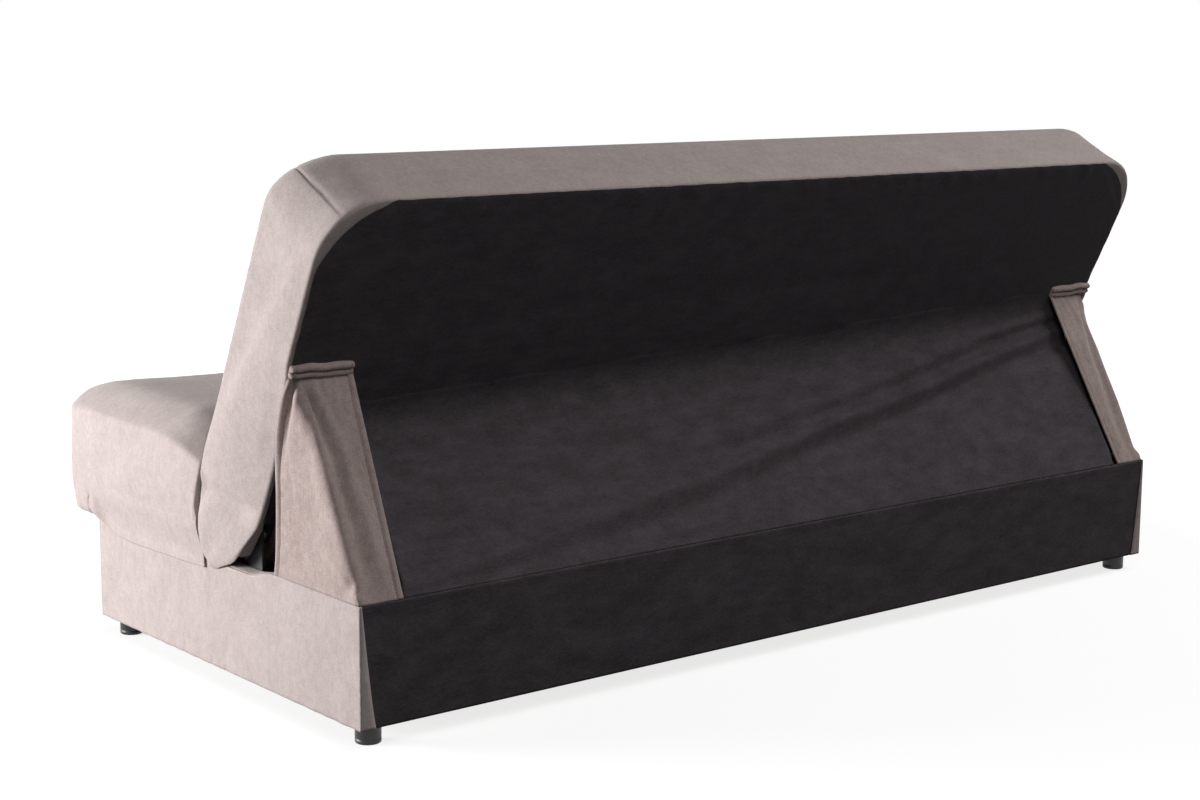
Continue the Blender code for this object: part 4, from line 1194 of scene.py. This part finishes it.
def curtain_plane():
    """The curtain without its folds, and how far down each of its rows lies."""
    tie = np.linspace(-1, 1, CURTAIN_COLUMNS)
    hidden = np.linspace(CURTAIN_TUCK, CURTAIN_BEND, HIDDEN_ROWS + 1)[:-1]
    shares = np.linspace(0, 1, BEND_ROWS)

    def row_x(down):
        return np.where(tie > 0, tie * read(CURTAIN_LEFT, down), tie * read(CURTAIN_RIGHT, down))

    def leaving(x, extra=0.0):
        return along_line(DEPARTURE, np.clip(x, -CURTAIN_REACH, CURTAIN_REACH)) + extra

    x = row_x(0.0)
    rows = []
    for extra in hidden:
        sunk = 0.0021 * ease(extra, CURTAIN_BEND - 0.002, CURTAIN_TUCK - 0.002)
        rows.append(on_back(x, CURTAIN_ACROSS + sunk, leaving(x, extra)))
    corner, foot = on_back(x, CURTAIN_ACROSS, leaving(x)), on_box(x, *CURTAIN_FOOT)
    length = np.linalg.norm(foot - corner, axis=1, keepdims=True)
    start = on_back(x, CURTAIN_ACROSS, leaving(x, CURTAIN_BEND))
    end = corner + (foot - corner) / length * CURTAIN_BEND
    rows += [bend(start, corner, end, share) for share in shares]
    first = CURTAIN_BEND / float(length.mean())
    slope = first + (1 - first) * np.linspace(0, 1, HANGING_ROWS + 1)[1:]
    for down in slope:
        x = row_x(down)
        corner = on_back(x, CURTAIN_ACROSS, leaving(x))
        rows.append(corner + (on_box(x, *CURTAIN_FOOT) - corner) * down)
    downs = np.concatenate([-hidden / CURTAIN_LENGTH, first * (2 * shares - 1), slope])
    return np.array(rows), downs


def make_curtain():
    """Hung from the panel in a soft bend and fixed along the rear board, drawn in tension folds."""
    grid, down = curtain_plane()
    x = grid[..., 0]
    down = np.broadcast_to(down[:, None], x.shape)
    out = facing(grid_normals(grid), (0, 1, 0.5))
    relief = curtain_relief(x, down)
    relief *= window(down, -0.10, 0.10, 0.86, 1.0)
    edge = np.minimum(np.abs(x - x[:, :1]), np.abs(x - x[:, -1:]))
    relief += 0.004 * window(down, -0.05, 0.1, 0.9, 1.0) * hill(edge, 0.03)
    grid = grid + out * relief[..., None]
    thickness = 0.0009 + 0.0007 * fade(edge, 0.008, 0.010)
    piece = cloth("dust_curtain_cloth", grid, thickness, "nonwoven")
    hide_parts("dust_curtain")
    start = on_box(0.0, CURTAIN_FOOT[0], CURTAIN_FOOT[1] + 0.008)
    end = on_back(0.0, PANEL_ACROSS, 0.236)
    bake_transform(piece)


# The wings and their straps

WING_ROWS = 120
WING_SIDE_COLUMNS = 88
WING_REAR_COLUMNS = 43
WING_SMOOTHING = 60
WING_FRONT = 0.25
WING_REAR_WIDTH = 0.082
WING_TURN = 0.75
WING_STAND = 0.0012
WING_MIDDLE = 0.93
STRAP_WIDTH = 0.118
STRAP_LOW = 0.338
STRAP_HIGH = 0.362
STRAP_OUTER = HALF_CUSHION - 0.004
STRAP_BASE = PANEL_ACROSS - 0.0009
STRAP_TILT = 0.0014
STRAP_RINGS = 81
ROLL_POINTS = 41
UNDERSIDE_POINTS = 9
ROLL_HEIGHT = 0.0086
WING_TOP_SHARE = 0.27
HEM_WIDTH = 0.011
# How far the front hem is drawn forwards to the cushion, from its top (0) to its foot (1)
HEM_HUG = smooth_line(
    [(0.0, 0.0), (0.12, 0.016), (0.34, 0.024), (0.60, 0.010), (0.87, 0.0), (1.0, 0.0)]
)
# The long crease, as (share of the way down, share of the way from the front hem)
CREASE = (
    (0.00, 0.30), (0.06, 0.32), (0.20, 0.485), (0.35, 0.605), (0.51, 0.654),
    (0.66, 0.713), (0.78, 0.739), (1.00, 0.78),
)


def camera_shares(grid):
    """Each point's place between the two ends of its row, as the camera sees it."""
    right, _, ahead = camera_axes()
    seen = grid - np.array(CAMERA_PLACE)
    place = seen @ np.array(right) / (seen @ np.array(ahead))
    return (place - place[:, :1]) / (place[:, -1:] - place[:, :1])


def wing_relief(u, down):
    """Folds of a wing: u is counted from its front hem, down from its strap."""
    crease = read(CREASE, down)
    reach = ease(down, 0.0, 0.10) * (1 - 0.75 * ease(down, 0.80, 1.0))
    relief = -0.0070 * hill(u - crease, 0.068) * reach
    relief += 0.0042 * hill(u - crease + 0.17, 0.10) * reach * fade(down, 0.6, 1.0)
    relief += 0.0020 * hill(u - crease - 0.13, 0.05) * reach
    # A deep gap behind the front hem closes half way down.
    gap = np.interp(down, (0.0, 0.35, 0.7), (0.13, 0.065, 0.06))
    relief -= 0.0080 * hill(u - gap, 0.05) * window(down, 0.0, 0.05, 0.28, 0.52)
    relief -= 0.0014 * hill(u - 0.13 - 0.12 * (down - 0.4), 0.03) * window(down, 0.3, 0.4, 0.6, 0.8)
    # A dent, and a fold that runs up from the corner of the box.
    relief -= 0.0060 * hill(u - 0.60, 0.035) * hill(down - 0.925, 0.028)
    ridge = 0.68 - 1.1 * (1 - down)
    relief += 0.0024 * hill(u - ridge, 0.04) * window(down, 0.74, 0.86, 0.97, 1.0)
    relief -= 0.0016 * hill(u - ridge + 0.09, 0.05) * window(down, 0.74, 0.86, 0.97, 1.0)
    streaks = ripple(u, 0.17, 51, 4) * 0.0004 * window(down, 0.0, 0.15, 0.85, 1.0)
    darts = 0.0012 * ripple(u, 0.16, 52) * fade(down, 0.0, 0.22)
    return relief + streaks + darts


def wing_grid(side):
    """A wing hangs from its strap and stands on the top of the box, round its rear corner."""
    on_side = np.linspace(0, WING_TURN, WING_SIDE_COLUMNS)
    on_rear = np.linspace(WING_TURN, 1, WING_REAR_COLUMNS + 1)[1:]
    shares = np.concatenate([on_side, on_rear])
    side_part = np.clip(shares / WING_TURN, 0, 1)
    rear_part = np.clip((shares - WING_TURN) / (1 - WING_TURN), 0, 1)
    top_share = WING_TOP_SHARE * side_part + (1 - WING_TOP_SHARE) * rear_part
    rounding = hill(shares - WING_TURN, 0.02) * 0.0025
    foot_x = HALF_BOX - WING_STAND - WING_REAR_WIDTH * rear_part - rounding
    foot_forward = WING_FRONT + (WING_STAND - WING_FRONT) * side_part + rounding
    foot = on_box(foot_x, foot_forward, BOX_REAR_TOP + 0.0004)
    top = on_back(STRAP_OUTER - STRAP_WIDTH * top_share, PANEL_ACROSS - 0.0030, STRAP_LOW + 0.002)
    down = np.linspace(0, 1, WING_ROWS)[:, None, None]
    grid = top[None] + (foot - top)[None] * down
    hug = read(HEM_HUG, down[..., 0]) * np.clip(1 - shares / 0.30, 0, 1) ** 1.6
    grid[..., 1] -= hug
    smooth = grid.copy()
    for _ in range(WING_SMOOTHING):
        smooth[:, 1:-1] = (smooth[:, :-2] + 2 * smooth[:, 1:-1] + smooth[:, 2:]) / 4
    grid = grid + (smooth - grid) * window(down, 0.0, 0.05, 0.93, 1.0)
    out = facing(grid_normals(grid), (0.6, 0.6, 0.1))
    u = camera_shares(grid)
    level = np.broadcast_to(down[..., 0], u.shape)
    grid = grid + out * wing_relief(u, level)[..., None]
    run = np.array([run_along(row) for row in grid])
    hem = np.minimum(run, run[:, -1:] - run)
    grid[..., 0] *= side
    out[..., 0] *= side
    return grid, out, hem


def make_wing(word, side):
    grid, out, hem = wing_grid(side)
    raised = 0.0010 * hill(hem - 0.0045, 0.0035) - 0.0014 * hill(hem - HEM_WIDTH, 0.0018)
    grid = grid + out * raised[..., None]
    thickness = 0.0013 + 0.0017 * fade(hem, HEM_WIDTH - 0.003, HEM_WIDTH) * ease(hem, 0.0, 0.0012)
    piece = cloth("wing_cloth_" + word, grid, thickness, "wing_cloth")
    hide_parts("wing_" + word)
    start = on_box(side * WING_MIDDLE, 0.05, BOX_REAR_TOP + 0.012)
    end = on_back(side * WING_MIDDLE, PANEL_ACROSS, STRAP_LOW - 0.012)
    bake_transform(piece)
    lines = []
    for columns in (slice(0, 30), slice(-30, None)):
        line = []
        for row, lift, gaps in zip(grid[:, columns], out[:, columns], hem[:, columns]):
            k = int(np.argmin(np.abs(gaps - HEM_WIDTH)))
            line.append(row[k] + lift[k] * 0.0010)
        lines.append(np.array(line))
    seam = sewn("wing_stitches_" + word, lines, 0.00042)
    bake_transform(seam)


def make_strap(word, side):
    """The top of a wing, rolled twice round its strap and stitched down the middle."""
    half = STRAP_WIDTH / 2
    middle = STRAP_OUTER - half
    centre, height = (STRAP_LOW + STRAP_HIGH) / 2, (STRAP_HIGH - STRAP_LOW) / 2
    over = np.linspace(-1, 1, ROLL_POINTS)
    roll = np.sqrt(np.maximum(1 - (2 * np.abs(over) - 1) ** 2, 0)) ** 0.8
    rings = []
    for share in np.linspace(-1, 1, STRAP_RINGS):
        end = (1 - abs(share) ** 14) ** 0.5
        gather = 1 - 0.30 * hill(abs(share) - 0.86, 0.028) + 0.28 * hill(abs(share) - 0.95, 0.03)
        lean = STRAP_TILT * share + 0.0008 * ripple(share, 0.9, 61)
        along = centre + height * over * (0.6 + 0.4 * end) * (1 + 0.08 * (gather - 1)) + lean
        raised = 0.0012 + ROLL_HEIGHT * roll * max(end, 0.15) * gather
        across = STRAP_BASE - np.concatenate([raised, np.zeros(UNDERSIDE_POINTS)])
        along = np.concatenate([along, np.linspace(along[-1], along[0], UNDERSIDE_POINTS)])
        rings.append(on_back(side * (middle + half * share), across, along))
    piece = ringed("wing_strap_roll_" + word, rings, "wing_cloth")
    settle(piece, "backrest", "upholstery", "wing_strap_" + word)
    anchor = on_back(side * middle, PANEL_ACROSS, centre)
    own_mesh(piece)
    share = np.linspace(-0.9, 0.9, 40)
    x = side * (middle + half * share)
    line = on_back(x, STRAP_BASE - 0.0022, centre + STRAP_TILT * share)
    seam = sewn("strap_stitches_" + word, [line], 0.00045)
    settle(seam, "backrest", "upholstery")


# The seat flaps and the feet

FLAP_TOP = 0.296
FLAP_ROOT = FLAP_TOP + 0.036
FLAP_LEAVES = 0.284
FLAP_REAR = ((0.19, 0.4728), (0.31, 0.4770))
FLAP_FRONT = 0.876
FLAP_ROWS = 46
FLAP_COLUMNS = 130
# The lower hem of a flap, as (forward, up)
FLAP_HEM = smooth_line(
    [
        (0.470, 0.2000), (0.560, 0.1975), (0.650, 0.1950), (0.735, 0.1932), (0.786, 0.1986),
        (0.817, 0.2060), (0.842, 0.2165), (0.863, 0.2285), (0.880, 0.2400),
    ]
)


def make_flap(word, side, cushion):
    """The lower side cloth of the seat: it leaves the cushion's side and hangs over the box."""
    graph = bpy.context.evaluated_depsgraph_get()
    columns = []
    for stop in np.linspace(0, 1, FLAP_COLUMNS):
        hem = read(FLAP_HEM, FLAP_REAR[0][1] + (FLAP_FRONT - FLAP_REAR[0][1]) * stop)
        column = []
        for share in np.linspace(0, 1, FLAP_ROWS):
            up = FLAP_ROOT + (hem - FLAP_ROOT) * share
            rear = read(FLAP_REAR, up)
            forward = rear + (FLAP_FRONT - rear) * stop
            place = Vector((side * 2.0, REAR_Y - forward, max(up, FLAP_LEAVES)))
            hit, point, *_ = cushion.ray_cast(place, Vector((-side, 0, 0)), depsgraph=graph)
            skin = abs(point.x) if hit else HALF_CUSHION
            wave = 0.0012 * ripple(forward, 0.16, 71)
            held = max(ease(up, 0.212, FLAP_LEAVES - 0.004), ease(forward, 0.815, 0.868))
            hang = HALF_BOX + 0.0040 + wave * (0.5 + 0.6 * fade(up, hem, hem + 0.05))
            end = 0.0016 * ease(forward, FLAP_FRONT - 0.014, FLAP_FRONT)
            sunk = 0.0020 * ease(up, FLAP_TOP - 0.01, FLAP_ROOT) + end
            column.append(on_box(side * (hang + (skin + 0.0007 - hang) * held - sunk), forward, up))
        columns.append(column)
    grid = np.array(columns).transpose(1, 0, 2)
    thickness = 0.0013 + 0.0010 * fade(np.linspace(1, 0, FLAP_ROWS)[:, None], 0.10, 0.13)
    piece = cloth("seat_flap_cloth_" + word, grid, thickness, "upholstery")
    settle(piece, "seat", "upholstery", "seat_flap_" + word)


FOOT_SIDES = 72
FOOT_SHAFT = 0.021


def make_foot(node):
    """A turned foot: flange, straight shaft, a fine groove and a rounded lower edge."""
    low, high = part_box(node)
    centre, height = (low + high) / 2, high.z - low.z
    flange, shaft = (high.x - low.x) / 2, FOOT_SHAFT
    profile = [
        (shaft - 0.0030, 0.0),
        (shaft - 0.0012, 0.0005),
        (shaft - 0.0003, 0.0014),
        (shaft, 0.0030),
        (shaft, 0.0075),
        (shaft - 0.0005, 0.0080),
        (shaft - 0.0005, 0.0088),
        (shaft, 0.0093),
        (shaft, height - 0.0062),
        (shaft + 0.0006, height - 0.0052),
        (shaft + 0.0018, height - 0.0046),
        (flange - 0.0006, height - 0.0042),
        (flange, height - 0.0035),
        (flange, height - 0.0006),
        (flange - 0.0006, height),
    ]
    turns = 2 * pi * np.arange(FOOT_SIDES) / FOOT_SIDES
    rings = []
    for radius, up in profile:
        ring = (centre.x + radius * np.cos(turns), centre.y + radius * np.sin(turns), low.z + up)
        rings.append(np.stack(np.broadcast_arrays(*ring), axis=1))
    piece = ringed(node + "_turned", rings, "black_plastic")
    settle(piece, "base", "black_plastic", node)


# The studio: floor, lamps and camera

CAMERA_PLACE = Vector((2.7093, 3.2289, 1.0996))
CAMERA_YAW = radians(39.05)
CAMERA_PITCH = radians(9.608)
CAMERA_ROLL = radians(0.359)
CAMERA_LENS = 65.53
SENSOR_WIDTH = 36.0


def camera_axes():
    """The camera's right, up and forward directions."""
    right = Vector((-cos(CAMERA_YAW), sin(CAMERA_YAW), 0))
    level = Vector((-sin(CAMERA_YAW), -cos(CAMERA_YAW), 0))
    ahead = level * cos(CAMERA_PITCH) - UP * sin(CAMERA_PITCH)
    over = right.cross(ahead)
    rolled = right * cos(CAMERA_ROLL) + over * sin(CAMERA_ROLL)
    return rolled, over * cos(CAMERA_ROLL) - right * sin(CAMERA_ROLL), ahead


def make_camera():
    data = bpy.data.cameras.new("camera")
    data.lens = CAMERA_LENS
    data.sensor_fit = "HORIZONTAL"
    data.sensor_width = SENSOR_WIDTH
    right, over, ahead = camera_axes()
    turn = Matrix((right, over, -ahead)).transposed().to_4x4()
    camera = bpy.data.objects.new("camera", data)
    camera.matrix_world = Matrix.Translation(CAMERA_PLACE) @ turn
    bpy.context.scene.collection.objects.link(camera)
    bpy.context.scene.camera = camera


def add_lamp(name, place, target, size, power):
    data = bpy.data.lights.new(name, "AREA")
    data.shape = "RECTANGLE"
    data.size, data.size_y = size
    data.energy = power
    lamp = bpy.data.objects.new(name, data)
    lamp.location = place
    lamp.rotation_euler = (Vector(target) - Vector(place)).to_track_quat("-Z", "Y").to_euler()
    bpy.context.scene.collection.objects.link(lamp)


FLOOR_SIZE = 30.0
FLOOR_GLOW = (0.78, 1.0)
GLOW_REACH = (1.3, 2.3)
FLOOR_SEEN = 0.42
FLOOR_ALONE = 0.06


def make_floor():
    """A pale floor: the camera sees it white where no shadow falls."""
    corners = [(x * FLOOR_SIZE, y * FLOOR_SIZE, 0) for x, y in ((-1, -1), (1, -1), (1, 1), (-1, 1))]
    finish = Finish("floor", 0.9)
    seen = finish.seen()
    finish.color(finish.mix(seen, (FLOOR_ALONE,) * 3, (FLOOR_SEEN,) * 3))
    place = finish.add("ShaderNodeNewGeometry").outputs["Position"]
    length = finish.add("ShaderNodeVectorMath", {0: place}, operation="LENGTH").outputs["Value"]
    glow = finish.math("MULTIPLY", seen, finish.range(length, *GLOW_REACH, *FLOOR_GLOW))
    finish.shader.inputs["Emission Color"].default_value = (1, 1, 1, 1)
    finish.tree.links.new(glow, finish.shader.inputs["Emission Strength"])
    finish.shader.inputs["Specular IOR Level"].default_value = 0
    new_object("floor", corners, [(0, 1, 2, 3)], finish.material)


WORLD_LIGHT = 0.03


def make_world():
    """Soft light all round, and white where the camera, metal or glass shows the background."""
    world = bpy.data.worlds.new("studio")
    bpy.context.scene.world = world
    nodes = Nodes(world)
    light = nodes.tree.nodes["Background"]
    light.inputs["Color"].default_value = (1, 1, 1, 1)
    strength = nodes.range(nodes.seen(), 0, 1, WORLD_LIGHT, 1)
    nodes.tree.links.new(strength, light.inputs["Strength"])


LAMPS = (
    ("key", (3.8, -2.0, 0.72), (0.9, -0.1, 0.4), (1.8, 1.0), 224),
    ("top", (-2.8, 1.7, 3.7), (-0.2, 0.4, 0.3), (2.8, 1.8), 82),
    ("rear", (1.6, 3.2, 3.1), (-0.3, 0.4, 0.4), (2.2, 1.8), 32),
)


def make_studio():
    make_camera()
    make_floor()
    make_world()
    for lamp in LAMPS:
        add_lamp(*lamp)
    bpy.context.scene.view_settings.view_transform = "Standard"


def main():
    dress_nodes()
    make_studio()
    make_back_cushion()
    seat = make_seat_cushion()
    for word, side in SIDES:
        make_side_cover(word, side)
        make_wing(word, side)
        make_strap(word, side)
        make_flap(word, side, seat)
    make_front_cover()
    make_rear_cover()
    make_back_panel()
    make_curtain()
    for node in ("foot_rear_left", "foot_rear_right", "foot_front_left", "foot_front_right"):
        make_foot(node)


main()
